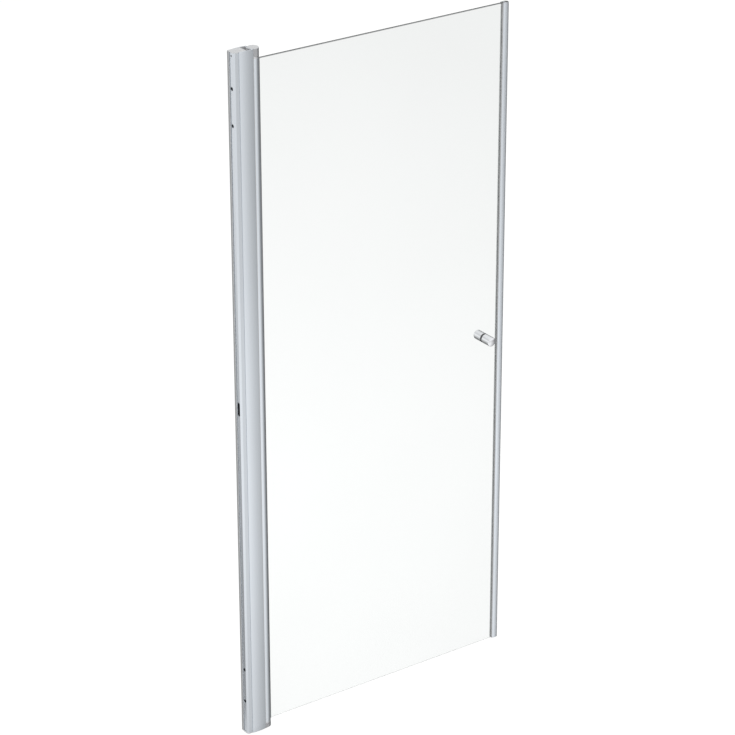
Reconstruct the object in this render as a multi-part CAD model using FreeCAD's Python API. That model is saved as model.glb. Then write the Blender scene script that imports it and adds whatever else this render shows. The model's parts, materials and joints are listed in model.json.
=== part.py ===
import FreeCAD, Part
import math
import os

# Hinged glass shower door, drawn shut. Millimetres, +Z up.
# The wall is the plane X = 0, the middle of the glass is the plane Y = 0, and the foot of the door is Z = 0.
# -Y is the room side, and the leaf reaches along +X from the hinge to the closing edge.

# Overall sizes
POST_HEIGHT = 2000.0
DOOR_REACH = 884.5

# Wall channel
CHANNEL_DEPTH = 31.0
CHANNEL_REACH = 38.0
CHANNEL_WALL = 1.8
FOOT_WIDTH = 6.4
FOOT_LAND = 0.6
FOOT_DRAFT = 3.8
FOOT_RADIUS = 0.8
WEB_RECESS = 2.7
WEB_THICKNESS = 1.4
WALL_SEAL_THICKNESS = 1.0
BEAD_LENGTH = 3.0
BEAD_HEIGHT = 0.9
PROFILE_EDGE_RADIUS = 0.4

# Fixing holes in the web of the wall channel
FIXING_HOLE_DIAMETER = 10.0
FIXING_END_DISTANCE = 100.0
FIXING_PITCH = 100.0
FIXING_SLOT_LENGTH = 40.0

# Caps of the wall channel
CAP_PLATE = 2.0
CAP_PLUG_DEPTH = 14.0
CAP_PLUG_WALL = 1.6
CAP_PLUG_CLEARANCE = 0.1
CAP_HOLE_DIAMETER = 6.0
CAP_HOLE_END_DISTANCE = 12.0

# Hinge post: bowed covers, guide lands and ribs
COVER_START = 15.5
COVER_EDGE_WALL = 1.1
COVER_WALL = 1.7
COVER_BULGE = 1.6
LAND_LENGTH = 12.0
RIB_OFFSET = 19.0
RIB_WIDTH = 2.0
SLIDE_CLEARANCE = 0.3
SLIDE_INWARD = 8.0

# Pivot, round hinge profile and the socket that it turns in
PIVOT_X = 68.0
HINGE_RADIUS = 15.2
HINGE_WALL = 1.8
SOCKET_CLEARANCE = 0.4
SOCKET_WALL = 1.7
LIP_SETBACK = 9.8
LIP_WALL = 3.9
LIP_LENGTH = 5.0
SCREW_PAD_WIDTH = 9.0
SCREW_PAD_HEIGHT = 1.0

# Lip seals between the covers and the hinge profile
SEAL_TAIL_WIDTH = 1.4
SEAL_TAIL_DEPTH = 2.0
SEAL_FIT = 0.05
SEAL_LIP_REACH = 2.6
SEAL_LIP_THICKNESS = 0.5
SEAL_RUNNING_GAP = 0.4

# Glass
GLASS_THICKNESS = 6.0
GLASS_ARRIS = 0.6
GLASS_LOWER_INSET = 2.2
GLASS_UPPER_INSET = 3.7

# Glass channel in the hinge profile, and its gasket
GASKET_LEG = 2.0
GASKET_BASE = 1.5
GASKET_LIP_REACH = 3.4
GASKET_LIP_STEP = 0.6
GLASS_CHANNEL_BASE = -1.5
GLASS_CHANNEL_WALL = 1.8

# Bearings, pivot plates and pins
LOWER_BLOCK_HEIGHT = 10.5
UPPER_BLOCK_HEIGHT = 20.5
BLOCK_CLEARANCE = 0.15
BEARING_CAP_THICKNESS = 2.0
BEARING_CAP_INSET = 0.2
BEARING_CAP_EDGE = 0.8
BEARING_CAP_SPIGOT = 4.0
BUSH_WALL = 2.0
BUSH_FLANGE_RADIUS = 9.0
BUSH_FLANGE_THICKNESS = 1.0
FLANGE_SINK = 0.7
PRESS_CLEARANCE = 0.02
LOWER_AXIAL_GAP = 0.2
UPPER_AXIAL_GAP = 0.3
PIN_DIAMETER = 8.0
PIN_RUNNING_CLEARANCE = 0.05
PIN_CHAMFER = 0.8
PIN_END_GAP = 0.7
LOWER_BLOCK_FLOOR = 2.0
PLATE_THICKNESS = 5.0

# Screw ports of the hinge profile and the countersunk screws in them
PORT_RADIUS = 3.3
PORT_EMBED = 0.65
PORT_ANGLE = 45.0
PLATE_SCREW_DIAMETER = 3.2
PLATE_SCREW_HEAD = 6.2
PLATE_SCREW_DEPTH = 12.0

# Pan screws that hold the bearing blocks
BLOCK_SCREW_DIAMETER = 4.0
BLOCK_SCREW_HEAD = 7.0
BLOCK_SCREW_HEAD_HEIGHT = 2.4
BLOCK_SCREW_HEAD_EDGE = 1.4
BLOCK_SCREW_PITCH = 10.5
BLOCK_SCREW_TIP_GAP = 1.2
SCREW_HOLE_CLEARANCE = 0.2
DRIVE_WIDTH = 2.5
DRIVE_DEPTH = 1.4

# Grub screws that lock the post on the wall channel
ADJUST_SCREW_DIAMETER = 4.0
ADJUST_SCREW_X = 22.5
ADJUST_SCREW_END_DISTANCE = 150.0
ADJUST_SCREW_GAP = 0.1
ADJUST_SCREW_SINK = 0.3

# Closing strip
STRIP_DEPTH = 18.0
STRIP_WALL = 1.6
STRIP_BOW = 1.4
CLOSING_PROFILE_WIDTH = 10.0
CLOSING_LIP_OPENING = 8.4
GLASS_EDGE_GAP = 1.6
GASKET_HEAD = 0.8
MAGNET_SEAL_STRAIGHT = 2.0
MAGNET_SEAL_WALL = 1.5
MAGNET_TAIL_DEPTH = 1.8
MAGNET_CLEARANCE = 0.1

# Knobs
KNOB_SETBACK = 62.5
KNOB_HEIGHT = 995.0
KNOB_DIAMETER = 27.0
KNOB_LENGTH = 33.2
KNOB_END_RADIUS = 3.2
KNOB_BASE_CHAMFER = 0.4
KNOB_WASHER_DIAMETER = 27.0
KNOB_WASHER_THICKNESS = 2.0
KNOB_STUD_DIAMETER = 6.0
KNOB_STUD_GRIP = 13.0
KNOB_BORE_SPARE = 1.5
KNOB_BUSH_WALL = 2.0
GLASS_HOLE_CLEARANCE = 0.25

# Places worked out from the sizes above
CHANNEL_HALF = CHANNEL_DEPTH / 2
CHANNEL_INNER = CHANNEL_HALF - CHANNEL_WALL
FOOT_INNER = CHANNEL_HALF - FOOT_WIDTH
WEB_FRONT = WEB_RECESS + WEB_THICKNESS
GUIDE_HALF = CHANNEL_HALF + SLIDE_CLEARANCE
SOCKET_RADIUS = HINGE_RADIUS + SOCKET_CLEARANCE
LIP_X = PIVOT_X - LIP_SETBACK
COVER_START_HALF = GUIDE_HALF + COVER_EDGE_WALL
COVER_LIP_HALF = math.sqrt((SOCKET_RADIUS + LIP_WALL) ** 2 - LIP_SETBACK ** 2)
COVER_MIDDLE_X = (COVER_START + LIP_X) / 2
COVER_MIDDLE_HALF = (COVER_START_HALF + COVER_LIP_HALF) / 2 + COVER_BULGE
SCREW_SEAT_X = PIVOT_X - SOCKET_RADIUS - SOCKET_WALL - SCREW_PAD_HEIGHT

UPPER_BLOCK_TOP = POST_HEIGHT - BEARING_CAP_THICKNESS
UPPER_BLOCK_BOTTOM = UPPER_BLOCK_TOP - UPPER_BLOCK_HEIGHT
UPPER_BUSH_TOP = UPPER_BLOCK_TOP - BEARING_CAP_SPIGOT
LOWER_FLANGE_BOTTOM = LOWER_BLOCK_HEIGHT - FLANGE_SINK
UPPER_FLANGE_TOP = UPPER_BLOCK_BOTTOM + FLANGE_SINK
LOWER_PLATE_BOTTOM = LOWER_FLANGE_BOTTOM + BUSH_FLANGE_THICKNESS + LOWER_AXIAL_GAP
UPPER_PLATE_TOP = UPPER_FLANGE_TOP - BUSH_FLANGE_THICKNESS - UPPER_AXIAL_GAP
HINGE_BOTTOM = LOWER_PLATE_BOTTOM + PLATE_THICKNESS
HINGE_TOP = UPPER_PLATE_TOP - PLATE_THICKNESS
BEARING_CAP_RADIUS = HINGE_RADIUS - BEARING_CAP_INSET
PIN_RADIUS = PIN_DIAMETER / 2
BUSH_BORE_RADIUS = PIN_RADIUS + PIN_RUNNING_CLEARANCE
BUSH_RADIUS = BUSH_BORE_RADIUS + BUSH_WALL
BLOCK_SCREW_GRIP = PIVOT_X - BUSH_RADIUS - BLOCK_SCREW_TIP_GAP - SCREW_SEAT_X

GLASS_HALF = GLASS_THICKNESS / 2
GLASS_BOTTOM = HINGE_BOTTOM + GLASS_LOWER_INSET
GLASS_TOP = HINGE_TOP - GLASS_UPPER_INSET
GLASS_CHANNEL_HALF = GLASS_HALF + GASKET_LEG
GLASS_CHANNEL_X = PIVOT_X + GLASS_CHANNEL_BASE
GLASS_CHANNEL_MOUTH_X = PIVOT_X + math.sqrt(HINGE_RADIUS ** 2 - GLASS_CHANNEL_HALF ** 2)
GLASS_START_X = GLASS_CHANNEL_X + GASKET_BASE

STRIP_HALF = STRIP_DEPTH / 2
MAGNET_CENTRE_X = DOOR_REACH - STRIP_HALF
CLOSING_END_X = MAGNET_CENTRE_X - MAGNET_SEAL_STRAIGHT
MAGNET_SPACE_X = CLOSING_END_X + MAGNET_SEAL_WALL
CLOSING_START_X = CLOSING_END_X - CLOSING_PROFILE_WIDTH
CLOSING_POCKET_X = CLOSING_END_X - MAGNET_TAIL_DEPTH
CLOSING_WEB_X = CLOSING_POCKET_X - STRIP_WALL
CLOSING_INNER_HALF = STRIP_HALF - STRIP_WALL
CLOSING_EDGE_HALF = STRIP_HALF - STRIP_BOW
CLOSING_GRIP_HALF = CLOSING_EDGE_HALF - STRIP_WALL
GLASS_END_X = CLOSING_WEB_X - GLASS_EDGE_GAP

KNOB_X = DOOR_REACH - KNOB_SETBACK
KNOB_BASE_Y = GLASS_HALF + KNOB_WASHER_THICKNESS
KNOB_STUD_RADIUS = KNOB_STUD_DIAMETER / 2
KNOB_BUSH_RADIUS = KNOB_STUD_RADIUS + KNOB_BUSH_WALL
GLASS_HOLE_RADIUS = KNOB_BUSH_RADIUS + GLASS_HOLE_CLEARANCE

FRONT = -1
REAR = 1
ALONG_X = FreeCAD.Vector(1, 0, 0)
ALONG_Y = FreeCAD.Vector(0, 1, 0)
ALONG_Z = FreeCAD.Vector(0, 0, 1)
OVERCUT = 1.0
NEAR = 0.01
HEX_SIDES = 6


def point(x, y, z=0.0):
    return FreeCAD.Vector(x, y, z)


def plan_face(edges):
    """Flat face inside a closed run of edges, always facing up so that fused faces can join."""
    face = Part.Face(Part.Wire(edges))
    if face.normalAt(0, 0).z > 0:
        return face
    return Part.Face(Part.Wire([edge.reversed() for edge in reversed(edges)]))


def rounded_face(corners):
    """Flat face in plan through corners given as (x, y) or (x, y, radius)."""
    spots = []
    count = len(corners)
    for index, corner in enumerate(corners):
        here = point(corner[0], corner[1])
        radius = corner[2] if len(corner) > 2 else 0.0
        back = point(*corners[index - 1][:2]) - here
        ahead = point(*corners[(index + 1) % count][:2]) - here
        if radius == 0.0:
            spots.append((here, None, here))
            continue
        half_angle = back.getAngle(ahead) / 2
        reach = radius / math.tan(half_angle)
        back.normalize()
        ahead.normalize()
        inward = back + ahead
        inward.normalize()
        middle = here + inward * (radius / math.sin(half_angle) - radius)
        spots.append((here + back * reach, middle, here + ahead * reach))
    edges = []
    for index, (start, middle, end) in enumerate(spots):
        if middle is not None:
            edges.append(Part.Arc(start, middle, end).toShape())
        edges.append(Part.LineSegment(end, spots[(index + 1) % count][0]).toShape())
    return plan_face(edges)


def disc_face(x, y, radius):
    return Part.Face(Part.Wire(Part.makeCircle(radius, point(x, y))))


def rectangle_face(x0, x1, y0, y1):
    return rounded_face([(x0, y0), (x1, y0), (x1, y1), (x0, y1)])


def mirrored(corners):
    """The same outline on the other side of the plane Y = 0, drawn in the opposite order."""
    return [(corner[0], -corner[1], *corner[2:]) for corner in reversed(corners)]


def extruded(section, bottom, top):
    """Straight prism of a plan section between two heights, as one solid without inner seams."""
    prisms = [face.extrude(ALONG_Z * (top - bottom)) for face in section.Faces]
    joined = prisms[0]
    if len(prisms) > 1:
        joined = joined.fuse(prisms[1:])
    solids = joined.removeSplitter().Solids
    if len(solids) != 1:
        raise ValueError("a section is in separate pieces")
    solids[0].translate(ALONG_Z * bottom)
    return solids[0]


def upright_cylinder(x, y, radius, bottom, top):
    return Part.makeCylinder(radius, top - bottom, point(x, y, bottom), ALONG_Z)


def export(shape, node):
    """Writes one node of the door."""
    if not shape.isValid():
        raise ValueError(node + " is not a valid solid")
    shape.exportStep("parts/" + node + ".step")


# Wall channel and its caps


def wall_profile():
    """Channel whose feet stand on the wall and whose recessed web takes the wall screws."""
    bead_inner = CHANNEL_INNER - BEAD_HEIGHT
    bead_start = CHANNEL_REACH - BEAD_LENGTH
    edge = PROFILE_EDGE_RADIUS
    front_foot = [(WEB_RECESS, -FOOT_INNER, edge), (0, -FOOT_INNER, edge), *foot_corners()]
    flange = [
        (CHANNEL_REACH, -CHANNEL_HALF, edge),
        (CHANNEL_REACH, -bead_inner, edge),
        (bead_start, -bead_inner, edge),
        (bead_start, -CHANNEL_INNER, edge),
        (WEB_FRONT, -CHANNEL_INNER, edge),
    ]
    rear_foot = [
        (WALL_SEAL_THICKNESS, CHANNEL_HALF, edge),
        (WALL_SEAL_THICKNESS, FOOT_INNER, edge),
        (WEB_RECESS, FOOT_INNER, edge),
    ]
    section = rounded_face(front_foot + flange + mirrored(flange) + rear_foot)
    profile = extruded(section, CAP_PLATE, POST_HEIGHT - CAP_PLATE)
    for height in fixing_heights():
        profile = profile.cut(web_hole(FIXING_HOLE_DIAMETER / 2, height))
    slot_bottom = POST_HEIGHT / 2 - FIXING_SLOT_LENGTH / 2 + FIXING_HOLE_DIAMETER / 2
    slot_top = POST_HEIGHT / 2 + FIXING_SLOT_LENGTH / 2 - FIXING_HOLE_DIAMETER / 2
    slot = web_hole(FIXING_HOLE_DIAMETER / 2, slot_bottom).fuse(web_hole(FIXING_HOLE_DIAMETER / 2, slot_top))
    slot = slot.fuse(
        Part.makeBox(
            WEB_THICKNESS + 2 * OVERCUT,
            FIXING_HOLE_DIAMETER,
            slot_top - slot_bottom,
            point(WEB_RECESS - OVERCUT, -FIXING_HOLE_DIAMETER / 2, slot_bottom),
        )
    )
    profile = profile.cut(slot.removeSplitter())
    return profile.cut(web_hole(CAP_HOLE_DIAMETER / 2, POST_HEIGHT - CAP_HOLE_END_DISTANCE))


def foot_corners():
    """Outside of the front foot: a narrow land on the wall, a slanted face and a round front corner."""
    return [(0, -FOOT_INNER - FOOT_LAND), (FOOT_DRAFT, -CHANNEL_HALF, FOOT_RADIUS)]


def wall_seal():
    """Grey strip on the rear foot that seals against the wall, with a leg that hooks round the foot."""
    leg_inner = FOOT_INNER - WALL_SEAL_THICKNESS
    leg_end = WEB_RECESS - PROFILE_EDGE_RADIUS - SEAL_FIT
    back = WALL_SEAL_THICKNESS - SEAL_FIT
    section = rounded_face(
        [
            (0, leg_inner, PROFILE_EDGE_RADIUS),
            (leg_end, leg_inner),
            (leg_end, FOOT_INNER - SEAL_FIT),
            (back, FOOT_INNER - SEAL_FIT),
            (back, CHANNEL_HALF),
            (0, CHANNEL_HALF, PROFILE_EDGE_RADIUS),
        ]
    )
    return extruded(section, CAP_PLATE, POST_HEIGHT - CAP_PLATE)


def fixing_heights():
    """Heights of the round wall screw holes, two near each end."""
    low = [FIXING_END_DISTANCE, FIXING_END_DISTANCE + FIXING_PITCH]
    return low + [POST_HEIGHT - height for height in low]


def web_hole(radius, height):
    """Round cutter through the web of the wall channel."""
    length = WEB_THICKNESS + 2 * OVERCUT
    return Part.makeCylinder(radius, length, point(WEB_RECESS - OVERCUT, 0, height), ALONG_X)


def wall_cap():
    """Lower cap of the wall channel: a plate in the channel's outline with a hollow plug on it."""
    edge = PROFILE_EDGE_RADIUS
    front_side = [*foot_corners(), (CHANNEL_REACH, -CHANNEL_HALF, edge)]
    plate = rounded_face(front_side + [(CHANNEL_REACH, CHANNEL_HALF, edge), (0, CHANNEL_HALF, edge)])
    plug_start = WEB_FRONT + CAP_PLUG_CLEARANCE
    plug_end = CHANNEL_REACH - BEAD_LENGTH - CAP_PLUG_CLEARANCE
    plug_half = CHANNEL_INNER - PROFILE_EDGE_RADIUS - CAP_PLUG_CLEARANCE
    wall = CAP_PLUG_WALL
    plug = rectangle_face(plug_start, plug_end, -plug_half, plug_half)
    hollow = rectangle_face(plug_start + wall, plug_end - wall, wall - plug_half, plug_half - wall)
    body = extruded(plate, 0, CAP_PLATE)
    body = body.fuse(extruded(plug.cut(hollow), CAP_PLATE, CAP_PLATE + CAP_PLUG_DEPTH))
    return body.removeSplitter().Solids[0]


def wall_top_cap():
    """The cap turned over for the top, with a hole in line with the small hole in the web."""
    cap = wall_cap().mirror(point(0, 0, POST_HEIGHT / 2), ALONG_Z)
    hole_start = point(WEB_FRONT + CAP_PLUG_CLEARANCE - OVERCUT, 0, POST_HEIGHT - CAP_HOLE_END_DISTANCE)
    cutter = Part.makeCylinder(CAP_HOLE_DIAMETER / 2, CAP_PLUG_WALL + 2 * OVERCUT, hole_start, ALONG_X)
    return cap.cut(cutter).removeSplitter().Solids[0]


# Hinge post


def cover_arc(side, inset=0.0):
    """Bowed outline of a cover from the wall edge to the lip, moved inwards by inset."""
    return Part.Arc(
        point(COVER_START, side * (COVER_START_HALF - inset)),
        point(COVER_MIDDLE_X, side * (COVER_MIDDLE_HALF - inset)),
        point(LIP_X, side * (COVER_LIP_HALF - inset)),
    )


def cover_half_at(x):
    """Half depth of the post's outside at a distance from the wall."""
    curve = cover_arc(REAR).toShape().Curve
    return curve.Center.y + math.sqrt(curve.Radius ** 2 - (x - curve.Center.x) ** 2)


def bowed_face(inset=0.0):
    """Plan between the two covers, closed by straight ends."""
    front = cover_arc(FRONT, inset)
    rear = cover_arc(REAR, inset)
    ends = [
        Part.LineSegment(front.EndPoint, rear.EndPoint),
        Part.LineSegment(rear.StartPoint, front.StartPoint),
    ]
    edges = [front.toShape(), ends[0].toShape(), rear.toShape(), ends[1].toShape()]
    return plan_face(Part.__sortEdges__(edges))


def post_section():
    """Covers with guide lands and ribs, joined by the round socket of the hinge profile."""
    outside = bowed_face()
    chamber = bowed_face(COVER_WALL)
    land_end = COVER_START + LAND_LENGTH
    rib_start = COVER_START + RIB_OFFSET
    land_zone = rectangle_face(COVER_START, land_end, -COVER_MIDDLE_HALF, COVER_MIDDLE_HALF)
    rib_zone = rectangle_face(rib_start, rib_start + RIB_WIDTH, -COVER_MIDDLE_HALF, COVER_MIDDLE_HALF)
    channel_end = CHANNEL_REACH + SLIDE_INWARD + OVERCUT
    channel_space = rectangle_face(COVER_START - OVERCUT, channel_end, -GUIDE_HALF, GUIDE_HALF)
    guides = outside.common(land_zone.fuse(rib_zone))
    socket = disc_face(PIVOT_X, 0, SOCKET_RADIUS + SOCKET_WALL)
    pad = rectangle_face(SCREW_SEAT_X, PIVOT_X, -SCREW_PAD_WIDTH / 2, SCREW_PAD_WIDTH / 2)
    lips = rectangle_face(LIP_X - LIP_LENGTH, LIP_X, -COVER_MIDDLE_HALF, COVER_MIDDLE_HALF)
    joined = outside.common(socket.fuse([pad, lips]))
    section = outside.cut(chamber).fuse(guides).cut(channel_space).fuse(joined)
    section = section.cut(disc_face(PIVOT_X, 0, SOCKET_RADIUS))
    for side in (FRONT, REAR):
        section = section.cut(rounded_face(seal_tail(side, 0.0)))
    return section


def hinge_post():
    """The post with its tapped holes for the grub screws and clearance holes for the block screws."""
    post = extruded(post_section(), 0, POST_HEIGHT)
    for height in adjust_screw_heights():
        start = point(ADJUST_SCREW_X, CHANNEL_HALF, height)
        length = cover_half_at(ADJUST_SCREW_X) - CHANNEL_HALF + OVERCUT
        post = post.cut(Part.makeCylinder(ADJUST_SCREW_DIAMETER / 2, length, start, ALONG_Y))
    for height in block_screw_heights():
        start = point(SCREW_SEAT_X - OVERCUT, 0, height)
        length = PIVOT_X - SCREW_SEAT_X
        post = post.cut(
            Part.makeCylinder(BLOCK_SCREW_DIAMETER / 2 + SCREW_HOLE_CLEARANCE, length, start, ALONG_X)
        )
    return post


def seal_middle():
    """Half depth at the middle of the groove that holds a lip seal."""
    socket_edge = math.sqrt(SOCKET_RADIUS ** 2 - LIP_SETBACK ** 2)
    return (socket_edge + COVER_LIP_HALF) / 2


def seal_tail(side, fit):
    """Outline of the groove in a cover's lip, or of the seal's tail when fit is its clearance."""
    half = SEAL_TAIL_WIDTH / 2 - fit
    outer = side * (seal_middle() + half)
    inner = side * (seal_middle() - half)
    start = LIP_X - SEAL_TAIL_DEPTH + fit
    return [(start, outer), (LIP_X, outer), (LIP_X, inner), (start, inner)]


def lip_seal(side):
    """Strip in the cover's lip whose lip lies just off the round hinge profile."""
    tail = seal_tail(side, SEAL_FIT)
    tip_x = LIP_X + SEAL_LIP_REACH
    near = math.sqrt((HINGE_RADIUS + SEAL_RUNNING_GAP) ** 2 - (PIVOT_X - tip_x) ** 2)
    lip = [(tip_x, side * (near + SEAL_LIP_THICKNESS)), (tip_x, side * near)]
    section = rounded_face(tail[:2] + lip + tail[2:])
    return extruded(section, LOWER_BLOCK_HEIGHT, UPPER_BLOCK_BOTTOM)


def adjust_screw_heights():
    return [ADJUST_SCREW_END_DISTANCE, POST_HEIGHT / 2, POST_HEIGHT - ADJUST_SCREW_END_DISTANCE]


def adjusting_screws():
    """Grub screws in the rear cover that press on the wall channel's rear flange."""
    start_y = CHANNEL_HALF + ADJUST_SCREW_GAP
    end_y = cover_half_at(ADJUST_SCREW_X) - ADJUST_SCREW_SINK
    radius = ADJUST_SCREW_DIAMETER / 2 - PRESS_CLEARANCE
    screws = []
    for height in adjust_screw_heights():
        screw = Part.makeCylinder(radius, end_y - start_y, point(ADJUST_SCREW_X, start_y, height), ALONG_Y)
        mouth = point(ADJUST_SCREW_X, end_y, height)
        screws.append(screw.cut(hex_socket(mouth, ALONG_Y)))
    return Part.makeCompound(screws)


def hex_socket(mouth, outward):
    """Hexagonal drive recess that opens at mouth, for a screw that is driven against outward."""
    corner_radius = DRIVE_WIDTH / math.sqrt(3)
    corners = []
    for step in range(HEX_SIDES):
        angle = 2 * math.pi * step / HEX_SIDES
        corners.append((corner_radius * math.cos(angle), corner_radius * math.sin(angle)))
    recess = rounded_face(corners).extrude(ALONG_Z * (DRIVE_DEPTH + OVERCUT))
    recess.translate(ALONG_Z * -DRIVE_DEPTH)
    recess.Placement = FreeCAD.Placement(mouth, FreeCAD.Rotation(ALONG_Z, outward)).multiply(recess.Placement)
    return recess


# Bearings at the ends of the post


def block_face():
    """Round block with two cheeks that carry the covers' outline on to the round."""
    radius = SOCKET_RADIUS - BLOCK_CLEARANCE
    face = disc_face(PIVOT_X, 0, radius)
    corner_angle = math.atan2(COVER_LIP_HALF, -LIP_SETBACK)
    corner_reach = math.hypot(COVER_LIP_HALF, LIP_SETBACK)
    touch_angle = corner_angle - math.acos(radius / corner_reach)
    touch_x = PIVOT_X + radius * math.cos(touch_angle)
    touch_y = radius * math.sin(touch_angle)
    for side in (FRONT, REAR):
        cheek = [(LIP_X, side * COVER_LIP_HALF), (touch_x, side * touch_y), (PIVOT_X, 0), (LIP_X, 0)]
        face = face.fuse(rounded_face(cheek))
    return face


def block_screw_heights():
    middle = (UPPER_BLOCK_BOTTOM + UPPER_BLOCK_TOP) / 2
    return [LOWER_BLOCK_HEIGHT / 2, middle - BLOCK_SCREW_PITCH / 2, middle + BLOCK_SCREW_PITCH / 2]


def block_screw_bore(height):
    radius = BLOCK_SCREW_DIAMETER / 2 + PRESS_CLEARANCE
    start = point(SCREW_SEAT_X, 0, height)
    return Part.makeCylinder(radius, BLOCK_SCREW_GRIP + BLOCK_SCREW_TIP_GAP / 2, start, ALONG_X)


def lower_bearing_block():
    """Foot of the post with a blind seat for the lower bush."""
    block = extruded(block_face(), 0, LOWER_BLOCK_HEIGHT)
    seat_radius = BUSH_RADIUS + PRESS_CLEARANCE
    block = block.cut(upright_cylinder(PIVOT_X, 0, seat_radius, LOWER_BLOCK_FLOOR, LOWER_BLOCK_HEIGHT))
    sink_radius = BUSH_FLANGE_RADIUS + PRESS_CLEARANCE
    block = block.cut(upright_cylinder(PIVOT_X, 0, sink_radius, LOWER_FLANGE_BOTTOM, LOWER_BLOCK_HEIGHT))
    return block.cut(block_screw_bore(block_screw_heights()[0]))


def upper_bearing_block():
    """Head of the post with a through bore for the upper bush and the cap's spigot."""
    block = extruded(block_face(), UPPER_BLOCK_BOTTOM, UPPER_BLOCK_TOP)
    seat_radius = BUSH_RADIUS + PRESS_CLEARANCE
    block = block.cut(upright_cylinder(PIVOT_X, 0, seat_radius, UPPER_BLOCK_BOTTOM, UPPER_BLOCK_TOP))
    sink_radius = BUSH_FLANGE_RADIUS + PRESS_CLEARANCE
    block = block.cut(upright_cylinder(PIVOT_X, 0, sink_radius, UPPER_BLOCK_BOTTOM, UPPER_FLANGE_TOP))
    for height in block_screw_heights()[1:]:
        block = block.cut(block_screw_bore(height))
    return block


def lower_bearing_bush():
    """Flanged bush whose flange carries the weight of the leaf."""
    flange_top = LOWER_FLANGE_BOTTOM + BUSH_FLANGE_THICKNESS
    bush = upright_cylinder(PIVOT_X, 0, BUSH_RADIUS, LOWER_BLOCK_FLOOR, flange_top)
    bush = bush.fuse(upright_cylinder(PIVOT_X, 0, BUSH_FLANGE_RADIUS, LOWER_FLANGE_BOTTOM, flange_top))
    bush = bush.cut(upright_cylinder(PIVOT_X, 0, BUSH_BORE_RADIUS, LOWER_BLOCK_FLOOR, flange_top))
    return bush.removeSplitter().Solids[0]


def upper_bearing_bush():
    """Flanged bush that steadies the upper pin."""
    flange_bottom = UPPER_FLANGE_TOP - BUSH_FLANGE_THICKNESS
    bush = upright_cylinder(PIVOT_X, 0, BUSH_RADIUS, flange_bottom, UPPER_BUSH_TOP)
    bush = bush.fuse(upright_cylinder(PIVOT_X, 0, BUSH_FLANGE_RADIUS, flange_bottom, UPPER_FLANGE_TOP))
    bush = bush.cut(upright_cylinder(PIVOT_X, 0, BUSH_BORE_RADIUS, flange_bottom, UPPER_BUSH_TOP))
    return bush.removeSplitter().Solids[0]


def upper_bearing_cap():
    """Round cap on the upper block, held by a spigot in the bush's bore."""
    disc = upright_cylinder(PIVOT_X, 0, BEARING_CAP_RADIUS, UPPER_BLOCK_TOP, POST_HEIGHT)
    rim = [edge for edge in disc.Edges if abs(edge.BoundBox.ZMin - POST_HEIGHT) < NEAR]
    disc = disc.makeFillet(BEARING_CAP_EDGE, rim)
    spigot = upright_cylinder(PIVOT_X, 0, BUSH_RADIUS, UPPER_BUSH_TOP, UPPER_BLOCK_TOP)
    return disc.fuse(spigot).removeSplitter().Solids[0]


def bearing_block_screws():
    """Pan screws driven from the chamber of the post into the bearing blocks."""
    screws = []
    for height in block_screw_heights():
        head_start = point(SCREW_SEAT_X - BLOCK_SCREW_HEAD_HEIGHT, 0, height)
        head = Part.makeCylinder(BLOCK_SCREW_HEAD / 2, BLOCK_SCREW_HEAD_HEIGHT, head_start, ALONG_X)
        rim = [edge for edge in head.Edges if edge.BoundBox.XMax < head_start.x + NEAR]
        head = head.makeFillet(BLOCK_SCREW_HEAD_EDGE, rim)
        seat = point(SCREW_SEAT_X, 0, height)
        shank = Part.makeCylinder(BLOCK_SCREW_DIAMETER / 2, BLOCK_SCREW_GRIP, seat, ALONG_X)
        screw = head.fuse(shank).cut(hex_socket(head_start, -ALONG_X))
        screws.append(screw.removeSplitter().Solids[0])
    return Part.makeCompound(screws)


# Leaf: hinge profile and pivots


def port_centres():
    """Places of the two screw ports, sunk into the wall at the back of the hinge profile."""
    distance = HINGE_RADIUS - HINGE_WALL - PORT_RADIUS + PORT_EMBED
    back = distance * math.cos(math.radians(PORT_ANGLE))
    across = distance * math.sin(math.radians(PORT_ANGLE))
    return [(PIVOT_X - back, side * across) for side in (FRONT, REAR)]


def hinge_profile():
    """Round tube with an inner glass channel and two screw ports."""
    outside = disc_face(PIVOT_X, 0, HINGE_RADIUS)
    inside = disc_face(PIVOT_X, 0, HINGE_RADIUS - HINGE_WALL)
    far_x = PIVOT_X + HINGE_RADIUS + OVERCUT
    channel_outer = GLASS_CHANNEL_HALF + GLASS_CHANNEL_WALL
    channel = rectangle_face(GLASS_CHANNEL_X - GLASS_CHANNEL_WALL, far_x, -channel_outer, channel_outer)
    section = outside.cut(inside).fuse(outside.common(channel))
    for x, y in port_centres():
        section = section.fuse(outside.common(disc_face(x, y, PORT_RADIUS)))
    section = section.cut(rectangle_face(GLASS_CHANNEL_X, far_x, -GLASS_CHANNEL_HALF, GLASS_CHANNEL_HALF))
    for x, y in port_centres():
        section = section.cut(disc_face(x, y, PLATE_SCREW_DIAMETER / 2 + PRESS_CLEARANCE))
    return extruded(section, HINGE_BOTTOM, HINGE_TOP)


def plate_screw(x, y, face_height, outward):
    """Countersunk screw whose head is flush with the outer face of a pivot plate."""
    head_radius = PLATE_SCREW_HEAD / 2
    shank_radius = PLATE_SCREW_DIAMETER / 2
    head_height = head_radius - shank_radius
    face = point(x, y, face_height)
    inward = ALONG_Z * -outward
    head = Part.makeCone(head_radius, shank_radius, head_height, face, inward)
    shank = Part.makeCylinder(shank_radius, PLATE_SCREW_DEPTH, face, inward)
    return head.fuse(shank).removeSplitter().Solids[0]


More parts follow.
